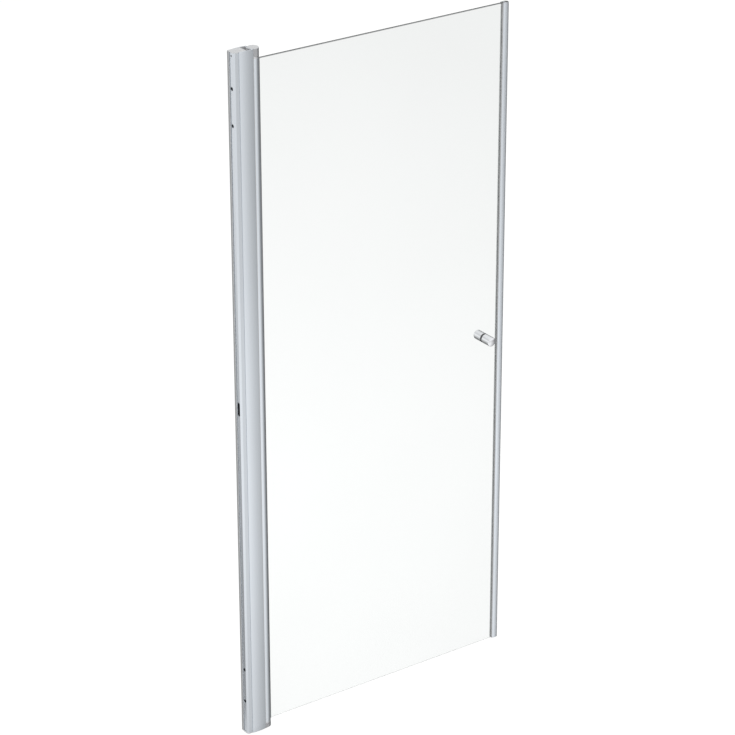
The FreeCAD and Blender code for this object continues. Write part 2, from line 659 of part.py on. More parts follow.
def pivot_plate_screws():
    """Two countersunk screws at each end of the hinge profile."""
    screws = []
    for face_height, outward in ((LOWER_PLATE_BOTTOM, -1), (UPPER_PLATE_TOP, 1)):
        mouth_direction = ALONG_Z * outward
        for x, y in port_centres():
            screw = plate_screw(x, y, face_height, outward)
            screws.append(screw.cut(hex_socket(point(x, y, face_height), mouth_direction)))
    return Part.makeCompound(screws)


def pivot_plate(bottom, outer_face, outward):
    """Round end plate with a press seat for the pin and two countersunk holes."""
    plate = upright_cylinder(PIVOT_X, 0, HINGE_RADIUS, bottom, bottom + PLATE_THICKNESS)
    plate = plate.cut(
        upright_cylinder(PIVOT_X, 0, PIN_RADIUS + PRESS_CLEARANCE, bottom, bottom + PLATE_THICKNESS)
    )
    for x, y in port_centres():
        plate = plate.cut(plate_screw(x, y, outer_face, outward))
    return plate


def lower_pivot_plate():
    return pivot_plate(LOWER_PLATE_BOTTOM, LOWER_PLATE_BOTTOM, -1)


def upper_pivot_plate():
    return pivot_plate(HINGE_TOP, UPPER_PLATE_TOP, 1)


def pivot_pin(root, outward, length):
    """Pin from the inner face of its plate, with a chamfered free end."""
    straight = length - PIN_CHAMFER
    direction = ALONG_Z * outward
    base = point(PIVOT_X, 0, root)
    shoulder = base + direction * straight
    body = Part.makeCylinder(PIN_RADIUS, straight, base, direction)
    tip = Part.makeCone(PIN_RADIUS, PIN_RADIUS - PIN_CHAMFER, PIN_CHAMFER, shoulder, direction)
    return body.fuse(tip).removeSplitter().Solids[0]


def lower_pivot_pin():
    return pivot_pin(HINGE_BOTTOM, -1, HINGE_BOTTOM - LOWER_BLOCK_FLOOR - PIN_END_GAP)


def upper_pivot_pin():
    return pivot_pin(HINGE_TOP, 1, UPPER_BUSH_TOP - PIN_END_GAP - HINGE_TOP)


# Leaf: glass and gasket


def glass_pane():
    """Flat pane with ground edges and one hole for the knobs."""
    pane = Part.makeBox(
        GLASS_END_X - GLASS_START_X,
        GLASS_THICKNESS,
        GLASS_TOP - GLASS_BOTTOM,
        point(GLASS_START_X, -GLASS_HALF, GLASS_BOTTOM),
    )
    rims = [edge for edge in pane.Edges if edge.BoundBox.YLength < GLASS_ARRIS]
    pane = pane.makeChamfer(GLASS_ARRIS, rims)
    hole_start = point(KNOB_X, -GLASS_THICKNESS, KNOB_HEIGHT)
    return pane.cut(Part.makeCylinder(GLASS_HOLE_RADIUS, 2 * GLASS_THICKNESS, hole_start, ALONG_Y))


def hinge_gasket():
    """Rubber channel round the glass edge, with lips that stand out of the hinge profile."""
    lip_end = GLASS_CHANNEL_MOUTH_X + GASKET_LIP_REACH
    lip_half = GLASS_CHANNEL_HALF - GASKET_LIP_STEP
    front_leg = [
        (GLASS_START_X, -GLASS_HALF),
        (lip_end, -GLASS_HALF),
        (GLASS_CHANNEL_MOUTH_X, -lip_half),
        (GLASS_CHANNEL_MOUTH_X, -GLASS_CHANNEL_HALF),
        (GLASS_CHANNEL_X, -GLASS_CHANNEL_HALF),
    ]
    section = rounded_face(front_leg + mirrored(front_leg))
    return extruded(section, GLASS_BOTTOM, GLASS_TOP)


# Leaf: closing strip


def strip_half_at(x):
    """Half depth of the bowed closing profile at a distance from the wall."""
    radius = (CLOSING_PROFILE_WIDTH ** 2 + STRIP_BOW ** 2) / (2 * STRIP_BOW)
    return STRIP_HALF - radius + math.sqrt(radius ** 2 - (CLOSING_END_X - x) ** 2)


def closing_profile():
    """Bowed channel over the glass edge, with a shallow pocket for the magnet seal."""
    stations = [CLOSING_START_X, CLOSING_END_X - CLOSING_PROFILE_WIDTH / 2, CLOSING_END_X]
    front = [point(x, -strip_half_at(x)) for x in stations]
    rear = [point(x, strip_half_at(x)) for x in reversed(stations)]
    outside = plan_face(
        [
            Part.Arc(*front).toShape(),
            Part.LineSegment(front[-1], rear[0]).toShape(),
            Part.Arc(*rear).toShape(),
            Part.LineSegment(rear[-1], front[0]).toShape(),
        ]
    )
    inner_start = CLOSING_START_X + STRIP_WALL
    inside = rectangle_face(inner_start, CLOSING_WEB_X, -CLOSING_GRIP_HALF, CLOSING_GRIP_HALF)
    lip_half = CLOSING_LIP_OPENING / 2
    pocket_end = CLOSING_END_X + OVERCUT
    mouth = rectangle_face(CLOSING_START_X - OVERCUT, inner_start, -lip_half, lip_half)
    pocket = rectangle_face(CLOSING_POCKET_X, pocket_end, -CLOSING_INNER_HALF, CLOSING_INNER_HALF)
    section = outside.cut([inside, mouth, pocket])
    return extruded(section, GLASS_BOTTOM, GLASS_TOP)


def closing_gasket(side):
    """Strip wedged between the closing profile and one face of the glass, with a head over the profile's edge."""
    inner_start = CLOSING_START_X + STRIP_WALL
    lip_half = CLOSING_LIP_OPENING / 2
    head_x = CLOSING_START_X - GASKET_HEAD
    head_half = CLOSING_EDGE_HALF - PROFILE_EDGE_RADIUS
    outline = [
        (head_x, side * GLASS_HALF),
        (GLASS_END_X, side * GLASS_HALF),
        (GLASS_END_X, side * CLOSING_GRIP_HALF),
        (inner_start, side * CLOSING_GRIP_HALF),
        (inner_start, side * lip_half),
        (CLOSING_START_X, side * lip_half),
        (CLOSING_START_X, side * head_half),
        (head_x, side * head_half, PROFILE_EDGE_RADIUS),
    ]
    return extruded(rounded_face(outline), GLASS_BOTTOM, GLASS_TOP)


def half_round_face(start_x, half):
    """Straight-sided outline that ends in a half circle about the middle of the closing nose."""
    front = point(MAGNET_CENTRE_X, -half)
    rear = point(MAGNET_CENTRE_X, half)
    edges = [
        Part.LineSegment(point(start_x, -half), front).toShape(),
        Part.Arc(front, point(MAGNET_CENTRE_X + half, 0), rear).toShape(),
        Part.LineSegment(rear, point(start_x, half)).toShape(),
        Part.LineSegment(point(start_x, half), point(start_x, -half)).toShape(),
    ]
    return plan_face(edges)


def magnet_seal():
    """Half-round nose with a tail in the closing profile and a space for the magnet."""
    tail_half = CLOSING_INNER_HALF - SEAL_FIT
    tail_start = CLOSING_POCKET_X + SEAL_FIT
    tail = rectangle_face(tail_start, CLOSING_END_X, -tail_half, tail_half)
    space = half_round_face(MAGNET_SPACE_X, STRIP_HALF - MAGNET_SEAL_WALL)
    section = half_round_face(CLOSING_END_X, STRIP_HALF).fuse(tail).cut(space)
    return extruded(section, GLASS_BOTTOM, GLASS_TOP)


def magnet_bar():
    half = STRIP_HALF - MAGNET_SEAL_WALL - MAGNET_CLEARANCE
    section = half_round_face(MAGNET_SPACE_X + MAGNET_CLEARANCE, half)
    return extruded(section, GLASS_BOTTOM, GLASS_TOP)


# Leaf: knobs


def turned(outline, side):
    """Solid turned about the knob's axis from (radius, distance from the glass middle) corners."""
    corners = [point(KNOB_X + radius, side * distance, KNOB_HEIGHT) for radius, distance in outline]
    wire = Part.makePolygon(corners + corners[:1])
    return Part.Face(wire).revolve(point(KNOB_X, 0, KNOB_HEIGHT), ALONG_Y, 360)


def knob(side):
    """Round pull with a soft outer edge and a blind tapped bore for the stud."""
    radius = KNOB_DIAMETER / 2
    end = KNOB_BASE_Y + KNOB_LENGTH
    bore_end = KNOB_BASE_Y + KNOB_STUD_GRIP + KNOB_BORE_SPARE
    bore_radius = KNOB_STUD_RADIUS + PRESS_CLEARANCE
    body = turned(
        [
            (bore_radius, KNOB_BASE_Y),
            (radius - KNOB_BASE_CHAMFER, KNOB_BASE_Y),
            (radius, KNOB_BASE_Y + KNOB_BASE_CHAMFER),
            (radius, end),
            (0, end),
            (0, bore_end),
            (bore_radius, bore_end),
        ],
        side,
    )
    rim = [edge for edge in body.Edges if is_end_rim(edge, side * end, radius)]
    return body.makeFillet(KNOB_END_RADIUS, rim)


def is_end_rim(edge, y, radius):
    """Whether an edge is the circle of a given radius in the plane at y."""
    box = edge.BoundBox
    flat = abs(box.YMin - y) < NEAR and abs(box.YMax - y) < NEAR
    return flat and abs(box.XMax - KNOB_X - radius) < NEAR


def knob_washer(side):
    return turned(
        [
            (KNOB_STUD_RADIUS + SCREW_HOLE_CLEARANCE, GLASS_HALF),
            (KNOB_WASHER_DIAMETER / 2, GLASS_HALF),
            (KNOB_WASHER_DIAMETER / 2, KNOB_BASE_Y),
            (KNOB_STUD_RADIUS + SCREW_HOLE_CLEARANCE, KNOB_BASE_Y),
        ],
        side,
    )


def knob_stud():
    half = KNOB_BASE_Y + KNOB_STUD_GRIP
    return Part.makeCylinder(KNOB_STUD_RADIUS, 2 * half, point(KNOB_X, -half, KNOB_HEIGHT), ALONG_Y)


def knob_bush():
    """Sleeve that keeps the stud off the glass."""
    start = point(KNOB_X, -GLASS_HALF, KNOB_HEIGHT)
    sleeve = Part.makeCylinder(KNOB_BUSH_RADIUS, GLASS_THICKNESS, start, ALONG_Y)
    bore = Part.makeCylinder(KNOB_STUD_RADIUS + PRESS_CLEARANCE, GLASS_THICKNESS, start, ALONG_Y)
    return sleeve.cut(bore)


def main():
    os.makedirs("parts", exist_ok=True)
    export(wall_profile(), "wall_profile")
    export(wall_seal(), "wall_seal")
    export(wall_top_cap(), "wall_top_cap")
    export(wall_cap(), "wall_bottom_cap")
    export(hinge_post(), "hinge_post")
    export(upper_bearing_block(), "upper_bearing_block")
    export(lower_bearing_block(), "lower_bearing_block")
    export(upper_bearing_bush(), "upper_bearing_bush")
    export(lower_bearing_bush(), "lower_bearing_bush")
    export(upper_bearing_cap(), "upper_bearing_cap")
    export(bearing_block_screws(), "bearing_block_screws")
    export(adjusting_screws(), "adjusting_screws")
    export(lip_seal(FRONT), "front_lip_seal")
    export(lip_seal(REAR), "rear_lip_seal")
    export(hinge_profile(), "hinge_profile")
    export(upper_pivot_plate(), "upper_pivot_plate")
    export(lower_pivot_plate(), "lower_pivot_plate")
    export(upper_pivot_pin(), "upper_pivot_pin")
    export(lower_pivot_pin(), "lower_pivot_pin")
    export(pivot_plate_screws(), "pivot_plate_screws")
    export(glass_pane(), "glass_pane")
    export(hinge_gasket(), "hinge_gasket")
    export(closing_profile(), "closing_profile")
    export(closing_gasket(FRONT), "front_closing_gasket")
    export(closing_gasket(REAR), "rear_closing_gasket")
    export(magnet_seal(), "magnet_seal")
    export(magnet_bar(), "magnet_bar")
    export(knob(FRONT), "front_knob")
    export(knob(REAR), "rear_knob")
    export(knob_stud(), "knob_stud")
    export(knob_bush(), "knob_bush")
    export(knob_washer(FRONT), "front_knob_washer")
    export(knob_washer(REAR), "rear_knob_washer")


main()
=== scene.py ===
"""Looks of a hinged glass shower door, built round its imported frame.

The frame's axes hold for everything here: the wall is X = 0, the middle of the glass is Y = 0, the foot
is Z = 0 and the room is towards -Y. Sizes of the door are given in millimetres and become metres when a
mesh is made.
"""

import json
import logging
import math
from dataclasses import dataclass, field
from enum import Enum
from typing import Any, Optional, Sequence, Union

import bmesh
import bpy
from bpy.types import ID, Material, Mesh, MeshPolygon, Node, NodeSocket, NodeTree, Object
from mathutils import Matrix, Vector


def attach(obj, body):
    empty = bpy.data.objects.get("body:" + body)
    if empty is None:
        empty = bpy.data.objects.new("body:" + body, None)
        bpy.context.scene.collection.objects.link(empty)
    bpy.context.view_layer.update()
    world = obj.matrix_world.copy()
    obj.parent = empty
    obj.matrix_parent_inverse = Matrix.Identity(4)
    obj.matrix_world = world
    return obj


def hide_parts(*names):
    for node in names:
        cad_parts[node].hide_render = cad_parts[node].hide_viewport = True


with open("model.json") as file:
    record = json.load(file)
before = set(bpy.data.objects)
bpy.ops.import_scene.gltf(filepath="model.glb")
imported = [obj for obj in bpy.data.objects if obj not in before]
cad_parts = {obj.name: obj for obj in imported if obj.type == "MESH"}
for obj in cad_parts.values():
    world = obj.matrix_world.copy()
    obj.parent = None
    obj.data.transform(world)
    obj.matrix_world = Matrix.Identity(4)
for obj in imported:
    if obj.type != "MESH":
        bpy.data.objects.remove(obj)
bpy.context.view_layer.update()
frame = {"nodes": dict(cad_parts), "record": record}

LOG = logging.getLogger("shower_door")
MM = 0.001
ARC_STEP_DEG = 5.0
STRAIGHT_DEG = 89.0
SHARP_DEG = 32.0
WELD_DISTANCE = 0.000002
FLAT_DEG = 0.5
EDGE_DEG = 40.0
EDGE_SEGMENTS = 2
BLOCK_EDGE = 0.3
PLATE_EDGE = 0.25
SMALL_EDGE = 0.2
NOISE_RANGE = (0.3, 0.7)
SMUDGE_SOFTNESS = 0.12

Point = tuple[float, float]
Loop = list[Point]
Corner = tuple[float, ...]
Colour = tuple[float, float, float]
Place = tuple[float, float, float]
Stops = tuple[Point, ...]
Socket = NodeSocket
Feed = Union[Socket, float, Sequence[float]]


class Slot(Enum):
    """Material slots of the record."""

    ANODISED = "anodised"
    CAST_SILVER = "cast_silver"
    GREY_PLASTIC = "grey_plastic"
    BEARING_PLASTIC = "bearing_plastic"
    STEEL = "steel"
    LIP_VINYL = "lip_vinyl"
    BLACK_RUBBER = "black_rubber"
    NOSE_VINYL = "nose_vinyl"
    MAGNET = "magnet"
    CHROME = "chrome"
    GLASS = "glass"


class Second(Enum):
    """Finishes that only some faces of a piece wear, by the ending of their names; the paler copies are
    painted light and the darker one is painted shade.
    """

    NONE = ""
    # Paler, duller copy of the anodised finish for faces inside the post: painted light in its shaded
    # chamber and socket.
    INSIDE = "_inside_painted_light"
    # Paler copy of the seal's vinyl for its leg: painted light against the shade of the channel's recess.
    PAINTED_LIGHT_SEAL_LEG = "_leg_painted_light"
    # Darker copy of the seal's vinyl for its wall face: painted shade.
    PAINTED_SHADE_SEAL_FACE = "_face_painted_shade"


class Body(Enum):
    """Bodies of the frame that pieces ride on."""

    WALL = "wall"
    POST = "post"
    LEAF = "leaf"


class Effect(Enum):
    """Surface effects that several finishes share."""

    DRAWN_LINES = "drawn_lines"
    TONE_DRIFT = "tone_drift"
    FINE_GRAIN = "fine_grain"
    FAINT_SMUDGE = "faint_smudge"


class Direction(Enum):
    """Axes along which a hole is drilled."""

    ALONG_X = "x"
    ALONG_Y = "y"


def arc(centre: Point, radius: float, start_deg: float, end_deg: float) -> Loop:
    """Points along an arc, both ends included.

    Args:
        centre: Middle of the arc.
        radius: Its radius.
        start_deg: Angle of the first point, from +X towards +Y.
        end_deg: Angle of the last point.

    Returns:
        The points in order.
    """
    count = max(2, math.ceil(abs(end_deg - start_deg) / ARC_STEP_DEG))
    angles = [math.radians(start_deg + (end_deg - start_deg) * i / count) for i in range(count + 1)]
    return [(centre[0] + radius * math.cos(a), centre[1] + radius * math.sin(a)) for a in angles]


def rounded(corners: Sequence[Corner]) -> Loop:
    """Outline with its corners rounded.

    Args:
        corners: (x, y) or (x, y, radius) in order round the outline.

    Returns:
        The points of the outline in the same order.
    """
    points: Loop = []
    for index, corner in enumerate(corners):
        here = Vector(corner[:2])
        radius = corner[2] if len(corner) > 2 else 0.0
        back = (Vector(corners[index - 1][:2]) - here).normalized()
        ahead = (Vector(corners[(index + 1) % len(corners)][:2]) - here).normalized()
        half = back.angle(ahead) / 2.0
        if radius == 0.0 or half > math.radians(STRAIGHT_DEG):
            points.append((here.x, here.y))
            continue
        centre = here + (back + ahead).normalized() * (radius / math.sin(half))
        first = here + back * (radius / math.tan(half)) - centre
        last = here + ahead * (radius / math.tan(half)) - centre
        start = math.degrees(math.atan2(first.y, first.x))
        turn = math.degrees(math.atan2(last.y, last.x)) - start
        turn = (turn + 180.0) % 360.0 - 180.0
        points += arc((centre.x, centre.y), radius, start, start + turn)
    return points


def mirrored(corners: Sequence[Corner]) -> list[Corner]:
    """The same corners on the other side of the glass plane, in the opposite order."""
    return [(corner[0], -corner[1], *corner[2:]) for corner in reversed(corners)]


def bow(start: Point, middle: Point, end: Point, steps: int) -> Loop:
    """Points along the circular arc through three points.

    Args:
        start: First point.
        middle: A point between the ends.
        end: Last point.
        steps: Into how many runs the arc is divided.

    Returns:
        The points in order, both ends included.
    """
    (ax, ay), (bx, by), (cx, cy) = start, middle, end
    scale = 2.0 * (ax * (by - cy) + bx * (cy - ay) + cx * (ay - by))
    a2, b2, c2 = ax * ax + ay * ay, bx * bx + by * by, cx * cx + cy * cy
    centre_x = (a2 * (by - cy) + b2 * (cy - ay) + c2 * (ay - by)) / scale
    centre_y = (a2 * (cx - bx) + b2 * (ax - cx) + c2 * (bx - ax)) / scale
    radius = math.hypot(ax - centre_x, ay - centre_y)
    first = math.degrees(math.atan2(ay - centre_y, ax - centre_x))
    last = math.degrees(math.atan2(cy - centre_y, cx - centre_x))
    turn = (last - first + 180.0) % 360.0 - 180.0
    angles = [math.radians(first + turn * i / steps) for i in range(steps + 1)]
    return [(centre_x + radius * math.cos(a), centre_y + radius * math.sin(a)) for a in angles]


def shaded(mesh: Mesh) -> None:
    """Shades a mesh smooth with its corners kept sharp."""
    mesh.shade_smooth()
    mesh.set_sharp_from_angle(angle=math.radians(SHARP_DEG))


def placed(name: str, data: ID) -> Object:
    """Puts a mesh, a lamp or a camera into the scene as an object of that name."""
    made = bpy.data.objects.new(name, data)
    bpy.context.scene.collection.objects.link(made)
    return made


def modified(piece: Object, name: str, kind: str, **settings: Any) -> None:
    """Gives a piece a modifier.

    Args:
        piece: The piece.
        name: Name of the modifier.
        kind: Blender's name for its type.
        settings: Its properties.
    """
    made = piece.modifiers.new(name, kind)
    for key, setting in settings.items():
        setattr(made, key, setting)


def bridged(bm: bmesh.types.BMesh, low: Sequence[Any], high: Sequence[Any]) -> None:
    """Joins two rings of as many points by a band of faces."""
    for index in range(len(low)):
        after = (index + 1) % len(low)
        bm.faces.new((low[index], low[after], high[after], high[index]))


@dataclass
class Extrusion:
    """A cut length of profile, upright, with its ends lightly broken.

    Attributes:
        outer: Outline in plan, anticlockwise, in millimetres.
        bottom: Height of the lower end.
        top: Height of the upper end.
        holes: Outlines of the chambers, anticlockwise.
        end_break: Size of the broken edge at both ends.
    """

    outer: Loop
    bottom: float
    top: float
    holes: list[Loop] = field(default_factory=list)
    end_break: float = 0.25

    def inset(self, loop: Loop) -> Loop:
        """The outline moved into the material by the broken edge.

        Args:
            loop: Outline with the material on its left.

        Returns:
            The moved outline, point for point.
        """
        moved: Loop = []
        for index, here in enumerate(loop):
            before = Vector(here) - Vector(loop[index - 1])
            after = Vector(loop[(index + 1) % len(loop)]) - Vector(here)
            left = before.normalized().orthogonal() + after.normalized().orthogonal()
            left = left.normalized() * self.end_break
            moved.append((here[0] + left.x, here[1] + left.y))
        return moved

    def mesh(self, name: str) -> Mesh:
        """Makes the closed mesh of the length."""
        bm = bmesh.new()
        rims: tuple[list[bmesh.types.BMEdge], list[bmesh.types.BMEdge]] = ([], [])
        for loop in [self.outer] + [list(reversed(hole)) for hole in self.holes]:
            small = self.inset(loop)
            levels = (
                (self.bottom, small),
                (self.bottom + self.end_break, loop),
                (self.top - self.end_break, loop),
                (self.top, small),
            )
            rings = [[bm.verts.new((x * MM, y * MM, z * MM)) for x, y in ring] for z, ring in levels]
            for low, high in zip(rings, rings[1:]):
                bridged(bm, low, high)
            for rim, ring in zip(rims, (rings[0], rings[-1])):
                for index in range(len(loop)):
                    rim.append(bm.edges.get((ring[index - 1], ring[index])))
        for rim in rims:
            bmesh.ops.triangle_fill(bm, edges=rim, use_beauty=True, use_dissolve=False)
        bmesh.ops.recalc_face_normals(bm, faces=bm.faces)
        made = bpy.data.meshes.new(name)
        bm.to_mesh(made)
        bm.free()
        shaded(made)
        return made


@dataclass(frozen=True)
class Drill:
    """A round hole or an upright slot through a profile's wall.

    Attributes:
        direction: Axis of the hole.
        centre: Middle of the hole in the frame, in millimetres.
        radius: Half the hole's width.
        depth: Length of the cutter along the axis.
        travel: Distance between the end centres of a slot, 0 for a round hole.
    """

    direction: Direction
    centre: Place
    radius: float
    depth: float
    travel: float = 0.0

    def outline(self) -> Loop:
        """Outline of the hole across its axis: sideways, then up."""
        half = self.travel / 2.0
        if half == 0.0:
            return arc((0.0, 0.0), self.radius, 0.0, 360.0)[:-1]
        return arc((0.0, half), self.radius, 0.0, 180.0) + arc((0.0, -half), self.radius, 180.0, 360.0)

    def add_to(self, bm: bmesh.types.BMesh) -> None:
        """Adds the cutter's closed shape to a mesh."""
        rings = []
        for end in (-self.depth / 2.0, self.depth / 2.0):
            ring = []
            for side, rise in self.outline():
                offset = (end, side, rise) if self.direction is Direction.ALONG_X else (side, end, rise)
                ring.append(bm.verts.new((Vector(self.centre) + Vector(offset)) * MM))
            rings.append(ring)
        bridged(bm, *rings)
        bm.faces.new(rings[0])
        bm.faces.new(rings[1])


def drilled(piece: Object, drills: Sequence[Drill]) -> None:
    """Cuts holes through a piece.

    Args:
        piece: The piece to cut, whose mesh is replaced by the cut one.
        drills: The holes, none of which meet.
    """
    bm = bmesh.new()
    for drill in drills:
        drill.add_to(bm)
    bmesh.ops.recalc_face_normals(bm, faces=bm.faces)
    tool_mesh = bpy.data.meshes.new("drill_tool")
    bm.to_mesh(tool_mesh)
    bm.free()
    tool = placed("drill_tool", tool_mesh)
    modified(piece, "holes", "BOOLEAN", operation="DIFFERENCE", solver="EXACT", object=tool)
    graph = bpy.context.evaluated_depsgraph_get()
    finished = bpy.data.meshes.new_from_object(piece.evaluated_get(graph))
    uncut = piece.data
    piece.modifiers.clear()
    piece.data = finished
    finished.name = uncut.name
    bpy.data.meshes.remove(uncut)
    bpy.data.objects.remove(tool)
    bpy.data.meshes.remove(tool_mesh)
    shaded(piece.data)


class NodeGraph:
    """Adds nodes to a shader tree and joins them."""

    def __init__(self, tree: NodeTree) -> None:
        """Starts on a tree, which is emptied."""
        self.tree = tree
        tree.nodes.clear()

    def node(self, kind: str, values: Optional[dict[str, Feed]] = None, **settings: Any) -> Node:
        """Adds a node.

        Args:
            kind: Blender's name for the node type.
            values: Input names with plain values, or with the outputs that are joined to them.
            settings: Properties of the node.

        Returns:
            The new node.
        """
        made = self.tree.nodes.new(kind)
        for name, setting in settings.items():
            setattr(made, name, setting)
        for name, value in (values or {}).items():
            self.feed(made.inputs[name], value)
        return made

    def feed(self, target: Socket, value: Feed) -> None:
        """Joins an output to an input, or gives the input a plain value."""
        if isinstance(value, Socket):
            self.tree.links.new(value, target)
        else:
            target.default_value = value

    def place(self) -> Socket:
        """Place on the object, in metres."""
        return self.node("ShaderNodeTexCoord").outputs["Object"]

    def parts(self, vector: Socket) -> Any:
        """Outputs X, Y and Z of a vector."""
        return self.node("ShaderNodeSeparateXYZ", {"Vector": vector}).outputs

    def math(self, operation: str, first: Feed, second: Feed) -> Socket:
        """Joins two numbers or sockets by a sum.

        Args:
            operation: Name of the sum.
            first: Left side, a socket or a number.
            second: Right side, a socket or a number.

        Returns:
            The result's socket.
        """
        made = self.node("ShaderNodeMath", operation=operation)
        self.feed(made.inputs[0], first)
        self.feed(made.inputs[1], second)
        return made.outputs[0]

    def vector(self, operation: str, *sides: Feed) -> Node:
        """Adds a sum over vectors, which are sockets or plain values."""
        made = self.node("ShaderNodeVectorMath", operation=operation)
        for target, side in zip(made.inputs, sides):
            self.feed(target, side)
        return made

    def spread(
        self, value: Socket, low: Feed, high: Feed, ends: Point = (0.0, 1.0), soft: bool = False
    ) -> Socket:
        """Stretches a range of a value, with its ends held beyond it.

        Args:
            value: The value.
            low: Where the range begins, a socket or a number.
            high: Where it ends.
            ends: What these two become.
            soft: Whether it runs softly into its ends.

        Returns:
            The stretched value's socket.
        """
        values = {"Value": value, "From Min": low, "From Max": high, "To Min": ends[0], "To Max": ends[1]}
        kind = "SMOOTHSTEP" if soft else "LINEAR"
        return self.node("ShaderNodeMapRange", values, interpolation_type=kind).outputs[0]

    def blend(self, factor: Socket, first: Feed, second: Feed, kind: str = "FLOAT") -> Socket:
        """Mixes two numbers, or two colours where the kind is RGBA."""
        values = {"Factor": factor, "A": first, "B": second}
        return self.node("ShaderNodeMix", values, data_type=kind).outputs["Result"]

    def diffuse(self, grey: float) -> Socket:
        """A dull grey shader."""
        return self.node("ShaderNodeBsdfDiffuse", {"Color": (grey, grey, grey, 1.0)}).outputs[0]

    def mix_shaders(self, factor: Socket, first: Socket, second: Socket) -> Socket:
        """Mixes two shaders, of which the second shows where the factor is 1."""
        made = self.node("ShaderNodeMixShader", {"Fac": factor})
        self.feed(made.inputs[1], first)
        self.feed(made.inputs[2], second)
        return made.outputs[0]

    def curve(self, value: Socket, stops: Sequence[Point]) -> Socket:
        """Level that follows a value along stops.

        Args:
            value: The value.
            stops: (value, level) in rising order, of which the ends hold beyond them.

        Returns:
            The level's socket.
        """
        low, high = stops[0][0], stops[-1][0]
        ramp = self.node("ShaderNodeValToRGB", {"Fac": self.spread(value, low, high)})
        elements = ramp.color_ramp.elements
        for _ in stops[2:]:
            elements.new(0.5)
        for element, (at, level) in zip(elements, stops):
            element.position = (at - low) / (high - low)
            element.color = (level, level, level, 1.0)
        return ramp.outputs["Color"]


class EffectLibrary:
    """Builds each shared effect once, as a node group, and hands it out."""

    def __init__(self) -> None:
        """Starts with no groups built."""
        self.built: dict[Effect, NodeTree] = {}

    def place(self, graph: NodeGraph, effect: Effect, **values: float) -> Socket:
        """Places an effect in a material.

        Args:
            graph: The material's graph.
            effect: Which effect.
            values: The group's inputs by name.

        Returns:
            The effect's only output.
        """
        if effect not in self.built:
            self.built[effect] = self.group(effect)
        return graph.node("ShaderNodeGroup", values, node_tree=self.built[effect]).outputs[0]

    def group(self, effect: Effect) -> NodeTree:
        """Builds the node group of an effect."""
        makers = {
            Effect.DRAWN_LINES: self.drawn_lines,
            Effect.TONE_DRIFT: self.tone_drift,
            Effect.FINE_GRAIN: self.fine_grain,
            Effect.FAINT_SMUDGE: self.faint_smudge,
        }
        tree = bpy.data.node_groups.new(effect.value, "ShaderNodeTree")
        makers[effect](tree)
        return tree

    @staticmethod
    def opened(tree: NodeTree, inputs: dict[str, float], output: str) -> tuple[NodeGraph, Any, Socket]:
        """Gives a group its sockets.

        Args:
            tree: The empty group.
            inputs: Input names with their defaults.
            output: Name of the output.

        Returns:
            The graph, what the group is given by name, and where its result goes.
        """
        for name, default in inputs.items():
            socket = tree.interface.new_socket(name, in_out="INPUT", socket_type="NodeSocketFloat")
            socket.default_value = default
        tree.interface.new_socket(output, in_out="OUTPUT", socket_type="NodeSocketFloat")
        graph = NodeGraph(tree)
        return graph, graph.node("NodeGroupInput").outputs, graph.node("NodeGroupOutput").inputs[0]

    def drawn_lines(self, tree: NodeTree) -> None:
        """Faint lines that the extrusion die leaves along a profile."""
        graph, given, result = self.opened(tree, {"Across": 900.0, "Along": 2.0}, "Mask")
        scales = {"X": given["Across"], "Y": given["Across"], "Z": given["Along"]}
        scale = graph.node("ShaderNodeCombineXYZ", scales).outputs[0]
        stretched = graph.vector("MULTIPLY", graph.place(), scale).outputs[0]
        values = {"Vector": stretched, "Scale": 1.0, "Detail": 3.0, "Roughness": 0.6}
        noise = graph.node("ShaderNodeTexNoise", values).outputs[0]
        graph.feed(result, graph.spread(noise, *NOISE_RANGE))

    def tone_drift(self, tree: NodeTree) -> None:
        """Slow change of tone over a surface, from 1 down to 1 less the depth."""
        graph, given, result = self.opened(tree, {"Scale": 3.0, "Depth": 0.05}, "Tone")
        values = {"Vector": graph.place(), "Scale": given["Scale"], "Detail": 2.0, "Roughness": 0.45}
        noise = graph.node("ShaderNodeTexNoise", values).outputs[0]
        loss = graph.math("MULTIPLY", graph.spread(noise, *NOISE_RANGE), given["Depth"])
        graph.feed(result, graph.math("SUBTRACT", 1.0, loss))

    def fine_grain(self, tree: NodeTree) -> None:
        """Fine even grain of a moulded, cast or blasted surface."""
        graph, given, result = self.opened(tree, {"Scale": 2500.0}, "Height")
        values = {"Vector": graph.place(), "Scale": given["Scale"]}
        cells = graph.node("ShaderNodeTexVoronoi", values, feature="SMOOTH_F1").outputs["Distance"]
        noise = graph.node("ShaderNodeTexNoise", {**values, "Detail": 2.0}).outputs[0]
        graph.feed(result, graph.math("MULTIPLY", graph.math("ADD", cells, noise), 0.5))

    def faint_smudge(self, tree: NodeTree) -> None:
        """Soft patches that handling and water leave on a polished surface."""
        graph, given, result = self.opened(tree, {"Scale": 20.0, "Cover": 0.4}, "Mask")
        values = {"Vector": graph.place(), "Scale": given["Scale"]}
        values |= {"Detail": 5.0, "Roughness": 0.62, "Distortion": 0.6}
        noise = graph.node("ShaderNodeTexNoise", values).outputs[0]
        edge = graph.math("SUBTRACT", 0.8, graph.math("MULTIPLY", given["Cover"], 0.6))
        low = graph.math("SUBTRACT", edge, SMUDGE_SOFTNESS)
        high = graph.math("ADD", edge, SMUDGE_SOFTNESS)
        graph.feed(result, graph.spread(noise, low, high, soft=True))


EFFECTS = EffectLibrary()


